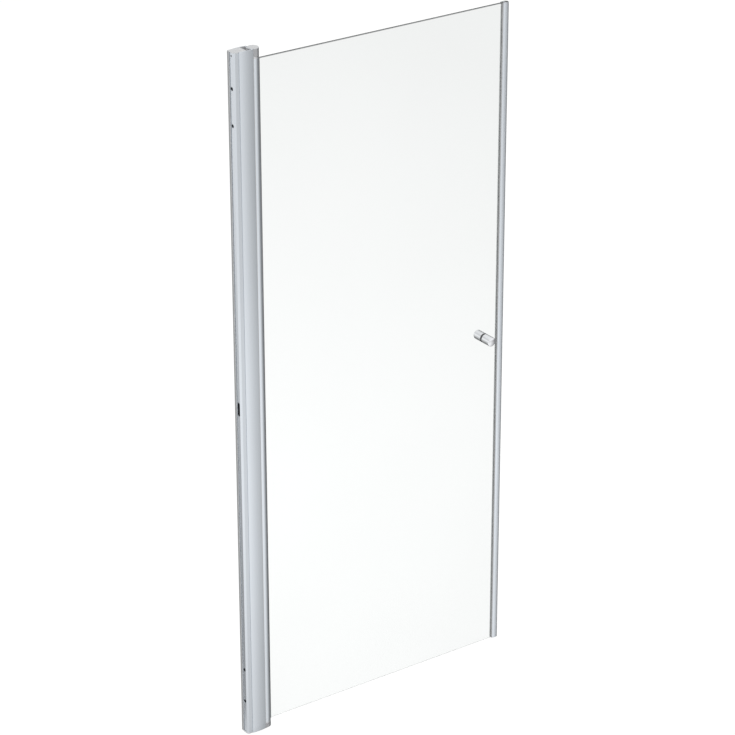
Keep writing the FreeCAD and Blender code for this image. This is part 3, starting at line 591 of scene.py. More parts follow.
@dataclass(frozen=True)
class Finish:
    """A surface finish.

    Attributes:
        slot: The record's material slot.
        colour: Base colour, linear.
        roughness: Middle of the roughness.
        drift: How far the tone drifts over the surface.
        drift_scale: Patches of drift in a metre.
        metal: How much of a metal it is, from 0 to 1.
        spread: Change of the roughness over the surface.
        relief: Height of the fine relief in metres.
        second: Which second finish of its slot it is, if it is one.
    """

    slot: Slot
    colour: Colour
    roughness: float
    drift: float = 0.06
    drift_scale: float = 6.0
    metal: float = 0.0
    spread: float = 0.0
    relief: float = 0.0
    second: Second = Second.NONE

    def material(self) -> Material:
        """Makes the finish's material."""
        made = bpy.data.materials.new(f"door_{self.slot.value}{self.second.value}")
        made.use_nodes = True
        graph = NodeGraph(made.node_tree)
        values = {"Base Color": (*self.colour, 1.0), "Roughness": self.roughness, "Metallic": self.metal}
        shader = graph.node("ShaderNodeBsdfPrincipled", values)
        output = graph.node("ShaderNodeOutputMaterial", {"Surface": shader.outputs[0]})
        graph.feed(shader.inputs["Base Color"], self.base(graph))
        self.dress(graph, shader, output)
        return made

    def base(self, graph: NodeGraph) -> Socket:
        """The base colour, which drifts over the surface."""
        tone = EFFECTS.place(graph, Effect.TONE_DRIFT, Scale=self.drift_scale, Depth=self.drift)
        drifting = graph.vector("SCALE", self.colour)
        graph.feed(drifting.inputs["Scale"], tone)
        return drifting.outputs[0]

    def dress(self, graph: NodeGraph, shader: Node, output: Node) -> None:
        """Adds what is special to the finish, which here is nothing."""

    def bump(self, graph: NodeGraph, shader: Node, height: Socket) -> None:
        """Gives the shader the relief of a height from 0 to 1."""
        values = {"Strength": 1.0, "Distance": self.relief, "Height": height}
        graph.feed(shader.inputs["Normal"], graph.node("ShaderNodeBump", values).outputs[0])

    def vary(self, graph: NodeGraph, shader: Node, mask: Socket) -> None:
        """Spreads the roughness evenly about its middle by a mask from 0 to 1."""
        change = graph.math("MULTIPLY", graph.math("SUBTRACT", mask, 0.5), self.spread)
        graph.feed(shader.inputs["Roughness"], graph.math("ADD", change, self.roughness))


@dataclass(frozen=True)
class DrawnMetal(Finish):
    """Anodised profile with the faint lines of the die along it.

    Attributes:
        across: Lines in a metre across the profile.
        along: Changes of a line in a metre along it.
    """

    metal: float = 1.0
    spread: float = 0.07
    relief: float = 0.000004
    across: float = 1400.0
    along: float = 1.5

    def dress(self, graph: NodeGraph, shader: Node, output: Node) -> None:
        """Adds lines and their relief."""
        lines = EFFECTS.place(graph, Effect.DRAWN_LINES, Across=self.across, Along=self.along)
        self.vary(graph, shader, lines)
        self.bump(graph, shader, lines)


@dataclass(frozen=True)
class GrainyMetal(Finish):
    """Cast, machined or plain metal with an even grain.

    Attributes:
        grain_scale: Grains in a metre.
    """

    metal: float = 1.0
    spread: float = 0.1
    relief: float = 0.00001
    grain_scale: float = 2200.0

    def dress(self, graph: NodeGraph, shader: Node, output: Node) -> None:
        """Adds grain."""
        grain = EFFECTS.place(graph, Effect.FINE_GRAIN, Scale=self.grain_scale)
        self.vary(graph, shader, grain)
        self.bump(graph, shader, grain)


@dataclass(frozen=True)
class Handled(Finish):
    """Surface with soft traces of handling.

    Attributes:
        smudge_scale: Smudges in a metre.
        smudge_cover: How much of the surface they take.
    """

    smudge_scale: float = 60.0
    smudge_cover: float = 0.4

    def dress(self, graph: NodeGraph, shader: Node, output: Node) -> None:
        """Adds smudges."""
        values = {"Scale": self.smudge_scale, "Cover": self.smudge_cover}
        self.vary(graph, shader, EFFECTS.place(graph, Effect.FAINT_SMUDGE, **values))


@dataclass(frozen=True)
class PolishedMetal(Handled):
    """Chromed metal."""

    metal: float = 1.0
    spread: float = 0.08
    smudge_scale: float = 90.0
    smudge_cover: float = 0.45


@dataclass(frozen=True)
class Moulded(Handled):
    """Plastic, vinyl or rubber with a moulded grain.

    Attributes:
        grain_scale: Grains in a metre.
    """

    spread: float = 0.12
    relief: float = 0.00002
    grain_scale: float = 1800.0

    def dress(self, graph: NodeGraph, shader: Node, output: Node) -> None:
        """Adds grain and smudges."""
        grain = EFFECTS.place(graph, Effect.FINE_GRAIN, Scale=self.grain_scale)
        self.bump(graph, shader, grain)
        super().dress(graph, shader, output)


@dataclass(frozen=True)
class ClearGlass(Finish):
    """Float glass with a green depth that shows at its edges and slow waves as its relief.

    Attributes:
        refraction: How strongly it bends light.
        depth_colour: Colour that long paths through the glass take.
        density: How strongly they take it.
        wave_scale: Waves in a metre.
        wave_cover: How much of the surface they take.
        edge_shade_colour: Colour of the painted shade along the upper edge, which stands in for the dark
            line of the edge.
        edge_shade_start: Height at which the painted shade of the edge begins, in metres.
        edge_shade_end: Height from which it is fully dark.
    """

    relief: float = 0.00002
    refraction: float = 1.5
    depth_colour: Colour = (0.55, 0.82, 0.74)
    density: float = 2.5
    wave_scale: float = 4.0
    wave_cover: float = 0.5
    edge_shade_colour: Colour = (0.1, 0.11, 0.11)
    edge_shade_start: float = 1.9656
    edge_shade_end: float = 1.9672

    def base(self, graph: NodeGraph) -> Socket:
        """The drifting base colour, darkened along the upper edge as painted shade."""
        # Painted shade: the top millimetres of the pane take a dark base colour, in place of the dark line
        # that its edge shows.
        edge_shade_mask = graph.spread(graph.parts(graph.place())["Z"], self.edge_shade_start, self.edge_shade_end)
        return graph.blend(edge_shade_mask, super().base(graph), (*self.edge_shade_colour, 1.0), "RGBA")

    def dress(self, graph: NodeGraph, shader: Node, output: Node) -> None:
        """Adds clearness, colour in depth and slow waves."""
        graph.feed(shader.inputs["Transmission Weight"], 1.0)
        graph.feed(shader.inputs["IOR"], self.refraction)
        values = {"Color": (*self.depth_colour, 1.0), "Density": self.density}
        graph.feed(output.inputs["Volume"], graph.node("ShaderNodeVolumeAbsorption", values).outputs[0])
        waves = EFFECTS.place(graph, Effect.FAINT_SMUDGE, Scale=self.wave_scale, Cover=self.wave_cover)
        self.bump(graph, shader, waves)


FINISHES: tuple[Finish, ...] = (
    DrawnMetal(Slot.ANODISED, (0.78, 0.825, 0.875), 0.17, drift=0.03, drift_scale=2.5),
    GrainyMetal(Slot.CAST_SILVER, (0.74, 0.75, 0.77), 0.34, drift=0.04, drift_scale=25.0),
    Moulded(Slot.GREY_PLASTIC, (0.62, 0.63, 0.64), 0.42, drift_scale=30.0),
    Moulded(Slot.BEARING_PLASTIC, (0.68, 0.68, 0.66), 0.38, drift_scale=40.0),
    GrainyMetal(Slot.STEEL, (0.6, 0.6, 0.61), 0.28, drift_scale=60.0, relief=0.000006),
    Moulded(Slot.LIP_VINYL, (0.41, 0.415, 0.42), 0.5, drift_scale=15.0),
    Moulded(Slot.BLACK_RUBBER, (0.14, 0.14, 0.145), 0.6, drift=0.2, drift_scale=20.0),
    Moulded(Slot.NOSE_VINYL, (0.66, 0.69, 0.73), 0.24, 0.05, 8.0, metal=0.85, relief=0.000005),
    Moulded(Slot.MAGNET, (0.06, 0.06, 0.065), 0.55, drift=0.2, drift_scale=40.0),
    PolishedMetal(Slot.CHROME, (0.87, 0.88, 0.905), 0.05, drift=0.03, drift_scale=40.0),
    ClearGlass(Slot.GLASS, (0.985, 0.995, 0.99), 0.0, drift=0.012, drift_scale=2.0),
)

# Copies of finishes for some faces: painted light inside the post and on the seal's leg, painted shade on
# the seal's wall face.
SECONDS: tuple[Finish, ...] = (
    GrainyMetal(Slot.ANODISED, (0.66, 0.67, 0.68), 0.55, 0.04, 10.0, metal=0.3, second=Second.INSIDE),
    Moulded(Slot.LIP_VINYL, (0.6, 0.61, 0.62), 0.45, drift_scale=15.0, second=Second.PAINTED_LIGHT_SEAL_LEG),
    Moulded(Slot.LIP_VINYL, (0.31, 0.315, 0.32), 0.5, drift_scale=15.0, second=Second.PAINTED_SHADE_SEAL_FACE),
)


class Wardrobe:
    """Makes every finish once and puts it on pieces."""

    def __init__(self, finishes: Sequence[Finish], seconds: Sequence[Finish]) -> None:
        """Makes the materials of the finishes of whole pieces and of some faces."""
        self.materials = {finish.slot: finish.material() for finish in finishes}
        self.seconds = {finish.second: finish.material() for finish in seconds}

    def wear(self, piece: Object, slot: Slot) -> None:
        """Puts a finish on every face of a piece."""
        if not piece.material_slots:
            piece.data.materials.append(self.materials[slot])
            return
        for holder in piece.material_slots:
            holder.material = self.materials[slot]

    def line(self, piece: Object, faces: Sequence[int], second: Second) -> None:
        """Puts a second finish on some faces of a piece.

        Args:
            piece: The piece.
            faces: Indices of the faces.
            second: The second finish.
        """
        piece.data.materials.append(self.seconds[second])
        for index in faces:
            piece.data.polygons[index].material_index = len(piece.data.materials) - 1

    def dress_nodes(self) -> None:
        """Puts its own finish on every node of the frame."""
        slots = {part["node"]: part["material_slot"] for part in frame["record"]["subparts"]}
        for name, node in frame["nodes"].items():
            self.wear(node, Slot(slots[name]))


def softened(node: Object, width: float) -> None:
    """Breaks the edges of a node of the frame with modifiers.

    Args:
        node: The node.
        width: Width of the broken edge in millimetres.
    """
    bevel = {"width": width * MM, "segments": EDGE_SEGMENTS, "use_clamp_overlap": True}
    modified(node, "weld", "WELD", merge_threshold=WELD_DISTANCE)
    modified(node, "flat", "DECIMATE", decimate_type="DISSOLVE", angle_limit=math.radians(FLAT_DEG))
    modified(node, "edge", "BEVEL", limit_method="ANGLE", angle_limit=math.radians(EDGE_DEG), **bevel)
    modified(node, "even", "WEIGHTED_NORMAL", keep_sharp=True)


@dataclass
class SubAssembly:
    """Pieces that are built together and ride on one body.

    Attributes:
        wardrobe: Where the pieces get their finishes.
    """

    wardrobe: Wardrobe

    def length(self, node: str, section: Extrusion, body: Body, slot: Slot) -> Object:
        """Makes a length of profile and puts it in the place of a node."""
        return self.stand_in(node, section.mesh(node + "_visual"), body, slot)

    def stand_in(self, node: str, mesh: Mesh, body: Body, slot: Slot) -> Object:
        """Puts a mesh in the place of a node.

        Args:
            node: Name of the node.
            mesh: The mesh.
            body: Body that it rides on.
            slot: Its finish.

        Returns:
            The piece.
        """
        name = node + "_visual"
        piece = placed(name, mesh)
        self.wardrobe.wear(piece, slot)
        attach(piece, body.value)
        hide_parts(node)
        LOG.info("%s: %d faces on %s", name, len(piece.data.polygons), body.value)
        return piece

    def soften(self, width: float, *nodes: str) -> None:
        """Breaks the edges of nodes by a width in millimetres."""
        for node in nodes:
            softened(frame["nodes"][node], width)
            LOG.info("%s: kept from the frame", node)


@dataclass
class WallChannel(SubAssembly):
    """The channel that is screwed to the wall, its seal and its two end plugs."""

    reach: float = 38.0
    half_width: float = 15.5
    foot_half: float = 9.1
    land_half: float = 9.7
    foot_draft: float = 3.8
    seal_depth: float = 1.0
    seal_fit: float = 0.05
    web_start: float = 2.7
    web_end: float = 4.1
    flange_half: float = 13.7
    lip_half: float = 12.8
    lip_length: float = 3.0
    front_radius: float = 0.8
    small_radius: float = 0.4
    bottom: float = 2.0
    top: float = 1998.0
    hole_radius: float = 5.0
    hole_heights: tuple[float, ...] = (100.0, 200.0, 1800.0, 1900.0)
    slot_height: float = 1000.0
    slot_travel: float = 30.0
    cap_hole_radius: float = 3.0
    cap_hole_height: float = 1988.0
    cutter_share: float = 4.0
    leg_normal: float = -0.3
    face_normal: float = -0.95

    def section(self) -> Extrusion:
        """The channel's profile and length."""
        small = self.small_radius
        front_foot: list[Corner] = [
            (self.web_start, -self.foot_half, small),
            (0.0, -self.foot_half, small),
            (0.0, -self.land_half),
            (self.foot_draft, -self.half_width, self.front_radius),
        ]
        flange: list[Corner] = [
            (self.reach, -self.half_width, small),
            (self.reach, -self.lip_half, small),
            (self.reach - self.lip_length, -self.lip_half, small),
            (self.reach - self.lip_length, -self.flange_half, small),
            (self.web_end, -self.flange_half, small),
        ]
        rear_foot: list[Corner] = [
            (self.seal_depth, self.half_width, small),
            (self.seal_depth, self.foot_half, small),
            (self.web_start, self.foot_half, small),
        ]
        loop = rounded(front_foot + flange + mirrored(flange) + rear_foot)
        return Extrusion(loop, self.bottom, self.top)

    def seal(self) -> Extrusion:
        """The strip against the wall with its leg round the rear foot."""
        leg = self.foot_half - self.seal_depth
        leg_end = self.web_start - self.small_radius - self.seal_fit
        back = self.seal_depth - self.seal_fit
        loop: list[Corner] = [
            (0.0, leg, self.small_radius),
            (leg_end, leg),
            (leg_end, self.foot_half - self.seal_fit),
            (back, self.foot_half - self.seal_fit),
            (back, self.half_width),
            (0.0, self.half_width, self.small_radius),
        ]
        return Extrusion(rounded(loop), self.bottom, self.top)

    def drills(self) -> list[Drill]:
        """Screw holes, the slot and the small hole over the top plug's."""
        across = (self.web_start + self.web_end) / 2.0
        depth = self.cutter_share * (self.web_end - self.web_start)
        holes = [(height, self.hole_radius, 0.0) for height in self.hole_heights]
        holes += [(self.slot_height, self.hole_radius, self.slot_travel)]
        holes += [(self.cap_hole_height, self.cap_hole_radius, 0.0)]
        way = Direction.ALONG_X
        return [Drill(way, (across, 0.0, z), radius, depth, travel) for z, radius, travel in holes]

    def build(self) -> None:
        """Makes the channel and its seal, with painted light on the seal's leg and painted shade on its
        wall face, and keeps the plugs.
        """
        channel = self.length("wall_profile", self.section(), Body.WALL, Slot.ANODISED)
        drilled(channel, self.drills())
        seal = self.length("wall_seal", self.seal(), Body.WALL, Slot.LIP_VINYL)
        faces = seal.data.polygons
        # Faces of the seal's leg get a paler copy of its vinyl as painted light, and its wall face a darker
        # copy as painted shade.
        leg = [face.index for face in faces if face.normal.y < self.leg_normal]
        wall_face = [face.index for face in faces if face.normal.x < self.face_normal]
        self.wardrobe.line(seal, leg, Second.PAINTED_LIGHT_SEAL_LEG)
        self.wardrobe.line(seal, wall_face, Second.PAINTED_SHADE_SEAL_FACE)
        self.soften(BLOCK_EDGE, "wall_top_cap", "wall_bottom_cap")


@dataclass
class HingePost(SubAssembly):
    """The telescoping post with its bowed covers, round socket and bearings."""

    pivot_x: float = 68.0
    start_x: float = 15.5
    end_x: float = 58.2
    edge_half: float = 16.9
    lip_half: float = 16.859
    bow_half: float = 18.479
    wall: float = 1.7
    guide_half: float = 15.8
    land_end: float = 27.5
    rib_start: float = 34.5
    rib_end: float = 36.5
    lip_start: float = 53.2
    socket_radius: float = 15.6
    ring_radius: float = 17.3
    pad_x: float = 49.7
    pad_half: float = 4.5
    seal_half: float = 14.498
    seal_width: float = 1.4
    seal_start: float = 56.2
    height: float = 2000.0
    corner: float = 0.3
    grub_x: float = 22.5
    grub_radius: float = 2.0
    grub_heights: tuple[float, ...] = (150.0, 1000.0, 1850.0)
    screw_radius: float = 2.2
    screw_heights: tuple[float, ...] = (5.25, 1982.5, 1993.0)
    screw_cutter: float = 8.0
    cutter_share: float = 3.0
    cover_steps: int = 36
    chamber_step: float = 2.0
    end_normal: float = 0.5
    ring_normal: float = -0.2

    def cover_outside(self) -> Loop:
        """Outside of the front cover, from the wall to the lip."""
        middle = ((self.start_x + self.end_x) / 2.0, -self.bow_half)
        return bow((self.start_x, -self.edge_half), middle, (self.end_x, -self.lip_half), self.cover_steps)

    def chamber_half(self, x: float) -> float:
        """Half width of the chamber between the covers.

        Args:
            x: Distance from the wall.

        Returns:
            Distance of the cover's inner face from the middle.
        """
        points = self.cover_outside()
        for (ax, ay), (bx, by) in zip(points, points[1:]):
            if ax <= x <= bx:
                return -(ay + (by - ay) * (x - ax) / (bx - ax)) - self.wall
        return self.lip_half - self.wall

    def chamber_side(self, start: float, end: float) -> list[Corner]:
        """Inner face of the rear cover between two distances from the wall."""
        steps = max(2, round((end - start) / self.chamber_step))
        places = [start + (end - start) * i / steps for i in range(steps + 1)]
        return [(x, self.chamber_half(x)) for x in places]

    def section(self) -> Extrusion:
        """The post's profile and length."""
        cover = self.cover_outside()
        low = self.seal_half - self.seal_width / 2.0
        high = self.seal_half + self.seal_width / 2.0
        mouth = math.degrees(math.acos((self.end_x - self.pivot_x) / self.socket_radius))
        outside: list[Corner] = [(*cover[0], self.corner), *cover[1:-1], (*cover[-1], self.corner)]
        outside += [(self.end_x, -high), (self.seal_start, -high)]
        outside += [(self.seal_start, -low), (self.end_x, -low)]
        outside += arc((self.pivot_x, 0.0), self.socket_radius, 360.0 - mouth, 180.0)[:-1]
        ring_lip = math.degrees(math.acos((self.lip_start - self.pivot_x) / self.ring_radius))
        ring_pad = 180.0 - math.degrees(math.asin(self.pad_half / self.ring_radius))
        inside: list[Corner] = [(self.start_x, self.guide_half, self.corner)]
        inside += [(self.land_end, self.guide_half)]
        inside += self.chamber_side(self.land_end, self.rib_start)
        inside += [(self.rib_start, self.guide_half), (self.rib_end, self.guide_half)]
        inside += self.chamber_side(self.rib_end, self.lip_start)
        inside += arc((self.pivot_x, 0.0), self.ring_radius, ring_lip, ring_pad)
        inside += [(self.pad_x, self.pad_half, self.corner)]
        middle = (self.pivot_x - self.socket_radius, 0.0)
        loop = rounded([*outside, middle, *mirrored(outside), *inside, *mirrored(inside)])
        return Extrusion(loop, 0.0, self.height)

    def drills(self) -> list[Drill]:
        """Holes of the grub screws in the rear cover and of the screws that hold the bearing blocks."""
        behind = self.chamber_half(self.grub_x) - self.wall
        rear = (self.guide_half + self.bow_half) / 2.0
        depth = self.cutter_share * (self.bow_half - behind)
        grubs = [(self.grub_x, rear, height) for height in self.grub_heights]
        across = (self.pad_x + self.pivot_x - self.socket_radius) / 2.0
        screws = [(across, 0.0, height) for height in self.screw_heights]
        holes = [Drill(Direction.ALONG_Y, place, self.grub_radius, depth) for place in grubs]
        holes += [Drill(Direction.ALONG_X, place, self.screw_radius, self.screw_cutter) for place in screws]
        return holes

    def inward(self, face: MeshPolygon) -> bool:
        """Whether a face of the post looks into its chamber or its socket."""
        if abs(face.normal.z) > self.end_normal:
            return False
        to_middle = face.center.y * face.normal.y < 0.0
        on_ring = face.normal.x < self.ring_normal and abs(face.center.y) < self.seal_half * MM
        return to_middle or (on_ring and face.center.x > self.rib_end * MM)

    def build(self) -> None:
        """Makes the post, with painted light on its inside faces, and keeps its fittings."""
        post = self.length("hinge_post", self.section(), Body.POST, Slot.ANODISED)
        drilled(post, self.drills())
        # Faces inside the chamber and socket get a paler, duller copy of the anodised finish: painted light
        # where they lie in shade.
        inside = [face.index for face in post.data.polygons if self.inward(face)]
        self.wardrobe.line(post, inside, Second.INSIDE)
        self.soften(BLOCK_EDGE, "upper_bearing_block", "lower_bearing_block")
        self.soften(SMALL_EDGE, "upper_bearing_cap", "upper_bearing_bush", "lower_bearing_bush")


@dataclass
class HingeRound(SubAssembly):
    """The round profile that turns in the post and grips the glass."""

    pivot_x: float = 68.0
    radius: float = 15.2
    wall: float = 1.8
    channel_half: float = 5.0
    channel_start: float = -1.5
    port_radius: float = 3.3
    port_hole: float = 1.62
    port_reach: float = 10.75
    port_angles: tuple[float, ...] = (135.0, 225.0)
    bottom: float = 16.0
    top: float = 1971.9
    mouth_radius: float = 0.4

    def moved(self, loop: Sequence[Corner]) -> Loop:
        """Corners about the pivot moved to the frame."""
        return [(x + self.pivot_x, y) for x, y, *_ in loop]

    def outside(self) -> Loop:
        """Round outside with the glass channel let into it."""
        mouth = math.degrees(math.asin(self.channel_half / self.radius))
        round_side = arc((0.0, 0.0), self.radius, mouth, 360.0 - mouth)
        corners: list[Corner] = [(*round_side[0], self.mouth_radius), *round_side[1:-1]]
        corners += [(*round_side[-1], self.mouth_radius)]
        corners += [(self.channel_start, -self.channel_half), (self.channel_start, self.channel_half)]
        return self.moved(rounded(corners))

    def port_centre(self, port: float) -> Point:
        """Middle of the screw port at an angle, from the pivot."""
        turn = math.radians(port)
        return (self.port_reach * math.cos(turn), self.port_reach * math.sin(turn))

    def chamber(self) -> Loop:
        """Space between the round wall, the channel and the screw ports."""
        inner = self.radius - self.wall
        side = self.channel_half + self.wall
        reach = self.port_reach
        cosine = (reach**2 + inner**2 - self.port_radius**2) / (2.0 * reach * inner)
        spread = math.degrees(math.acos(cosine))
        angle = math.degrees(math.asin(side / inner))
        end = 360.0 - angle
        points: Loop = []
        for port in self.port_angles:
            run = arc((0.0, 0.0), inner, angle, port - spread)
            centre = self.port_centre(port)
            first = math.degrees(math.atan2(run[-1][1] - centre[1], run[-1][0] - centre[0]))
            turn = -2.0 * ((first - port - 180.0) % 360.0)
            points += run + arc(centre, self.port_radius, first, first + turn)[1:-1]
            angle = port + spread
        points += arc((0.0, 0.0), inner, angle, end)
        back = self.channel_start - self.wall
        points += [(back, -side), (back, side)]
        return self.moved(points)

    def ports(self) -> list[Loop]:
        """Holes of the screw ports."""
        centres = [self.port_centre(port) for port in self.port_angles]
        return [self.moved(arc(centre, self.port_hole, 0.0, 360.0)[:-1]) for centre in centres]

    def build(self) -> None:
        """Makes the round profile and keeps its end plates."""
        section = Extrusion(self.outside(), self.bottom, self.top, [self.chamber(), *self.ports()])
        self.length("hinge_profile", section, Body.LEAF, Slot.ANODISED)
        self.soften(PLATE_EDGE, "upper_pivot_plate", "lower_pivot_plate")


@dataclass
class ClosingEdge(SubAssembly):
    """The channel on the closing edge with its magnetic nose."""

    start_x: float = 863.5
    end_x: float = 873.5
    half_width: float = 9.0
    edge_half: float = 7.6
    wall: float = 1.6
    mouth_half: float = 4.2
    web_end: float = 871.7
    radius: float = 0.4
    tail_start: float = 871.75
    tail_half: float = 7.35
    nose_x: float = 875.5
    nose_wall: float = 1.5
    bar_gap: float = 0.1
    bottom: float = 18.2
    top: float = 1968.2
    front_steps: int = 12

    def front(self) -> Loop:
        """Bowed front of the channel, from its edge on the glass to the nose."""
        width = self.end_x - self.start_x
        sag = self.half_width - self.edge_half
        radius = (width**2 + sag**2) / (2.0 * sag)
        middle = self.half_width - radius + math.sqrt(radius**2 - width**2 / 4.0)
        start, end = (self.start_x, -self.edge_half), (self.end_x, -self.half_width)
        return bow(start, (self.start_x + width / 2.0, -middle), end, self.front_steps)

    def channel(self) -> Extrusion:
        """The aluminium channel."""
        inner = self.half_width - self.wall
        grip = self.edge_half - self.wall
        front = self.front()
        half: list[Corner] = [
            (self.web_end - self.wall, -grip),
            (self.start_x + self.wall, -grip),
            (self.start_x + self.wall, -self.mouth_half),
            (self.start_x, -self.mouth_half, self.radius),
            (*front[0], self.radius),
            *front[1:-1],
            (*front[-1], self.radius),
            (self.end_x, -inner),
            (self.web_end, -inner),
        ]
        return Extrusion(rounded(half + mirrored(half)), self.bottom, self.top)

    def nose_loop(self, start: float, half: float) -> Loop:
        """Half-round outline with a flat back."""
        return [(start, -half), *arc((self.nose_x, 0.0), half, -90.0, 90.0), (start, half)]

    def nose(self) -> Extrusion:
        """The half-round vinyl nose with its tail."""
        half: list[Corner] = [
            (self.tail_start, -self.tail_half),
            (self.end_x, -self.tail_half),
            (self.end_x, -self.half_width, self.radius),
        ]
        round_side = arc((self.nose_x, 0.0), self.half_width, -90.0, 90.0)
        space = self.nose_loop(self.end_x + self.nose_wall, self.half_width - self.nose_wall)
        return Extrusion(rounded([*half, *round_side, *mirrored(half)]), self.bottom, self.top, [space])

    def bar(self) -> Extrusion:
        """The magnet strip inside the nose."""
        start = self.end_x + self.nose_wall + self.bar_gap
        half = self.half_width - self.nose_wall - self.bar_gap
        return Extrusion(self.nose_loop(start, half), self.bottom, self.top)

    def build(self) -> None:
        """Makes the channel, the nose and the magnet."""
        self.length("closing_profile", self.channel(), Body.LEAF, Slot.ANODISED)
        self.length("magnet_seal", self.nose(), Body.LEAF, Slot.NOSE_VINYL)
        self.length("magnet_bar", self.bar(), Body.LEAF, Slot.MAGNET)


@dataclass
class GlassLeaf(SubAssembly):
    """The pane with its pair of knobs."""

    knob_x: float = 822.0
    knob_height: float = 995.0
    knob_radius: float = 13.5
    knob_base: float = 5.0
    knob_end: float = 38.2
    knob_fillet: float = 3.2
    knob_chamfer: float = 0.4
    dome_radius: float = 30.0
    segments: int = 96

    def knob_outline(self) -> Loop:
        """Radius and distance from the middle of the glass, from the knob's base to its domed end."""
        inner = self.knob_radius - self.knob_fillet
        reach = self.dome_radius - self.knob_fillet
        lean = math.degrees(math.asin(inner / reach))
        middle = self.knob_end - self.dome_radius
        rim = middle + reach * math.cos(math.radians(lean))
        base = [(self.knob_radius - self.knob_chamfer, self.knob_base)]
        base += [(self.knob_radius, self.knob_base + self.knob_chamfer)]
        fillet = arc((inner, rim), self.knob_fillet, 0.0, 90.0 - lean)
        return base + fillet + arc((0.0, middle), self.dome_radius, 90.0 - lean, 90.0)[1:-1]

    def knob(self, name: str, side: int) -> Mesh:
        """Turns a knob.

        Args:
            name: Name of the mesh.
            side: -1 in front of the glass, 1 behind it.

        Returns:
            The mesh.
        """
        outline = self.knob_outline()
        count = self.segments
        turns = [2.0 * math.pi * i / count for i in range(count)]
        points = [
            (self.knob_x + radius * math.cos(a), side * far, self.knob_height + radius * math.sin(a))
            for radius, far in outline
            for a in turns
        ]
        points += [(self.knob_x, side * far, self.knob_height) for far in (self.knob_base, self.knob_end)]
        last = (len(outline) - 1) * count
        faces: list[tuple[int, ...]] = []
        for i in range(count):
            j = (i + 1) % count
            faces += [(a + i, a + j, a + count + j, a + count + i) for a in range(0, last, count)]
            faces += [(len(points) - 2, j, i), (len(points) - 1, last + i, last + j)]
        if side > 0:
            faces = [face[::-1] for face in faces]
        mesh = bpy.data.meshes.new(name)
        mesh.from_pydata([tuple(MM * value for value in point) for point in points], [], faces)
        shaded(mesh)
        return mesh

    def build(self) -> None:
        """Turns the knobs, keeps the pane and lets light through it."""
        for node, side in (("front_knob", -1), ("rear_knob", 1)):
            self.stand_in(node, self.knob(node + "_visual", side), Body.LEAF, Slot.CHROME)
        pane = frame["nodes"]["glass_pane"]
        pane.visible_shadow = False
        pane.visible_diffuse = False
        LOG.info("glass_pane: kept from the frame")
        self.soften(SMALL_EDGE, "front_knob_washer", "rear_knob_washer")


@dataclass(frozen=True)
class Lamp:
    """A soft square lamp.

    Attributes:
        name: Its name.
        place: Where it hangs, in metres.
        power: Its power in watts.
        size: Its side in metres.
    """

    name: str
    place: Place
    power: float
    size: float = 3.0

    def hang(self, aim: Place) -> None:
        """Hangs the lamp, looking at a place and kept out of mirrors and the glass."""
        light = bpy.data.lights.new(self.name, "AREA")
        light.energy = self.power
        light.size = self.size
        lamp = placed(self.name, light)
        lamp.location = self.place
        lamp.rotation_euler = (Vector(aim) - Vector(self.place)).to_track_quat("-Z", "Y").to_euler()
        lamp.visible_glossy = False
        lamp.visible_transmission = False


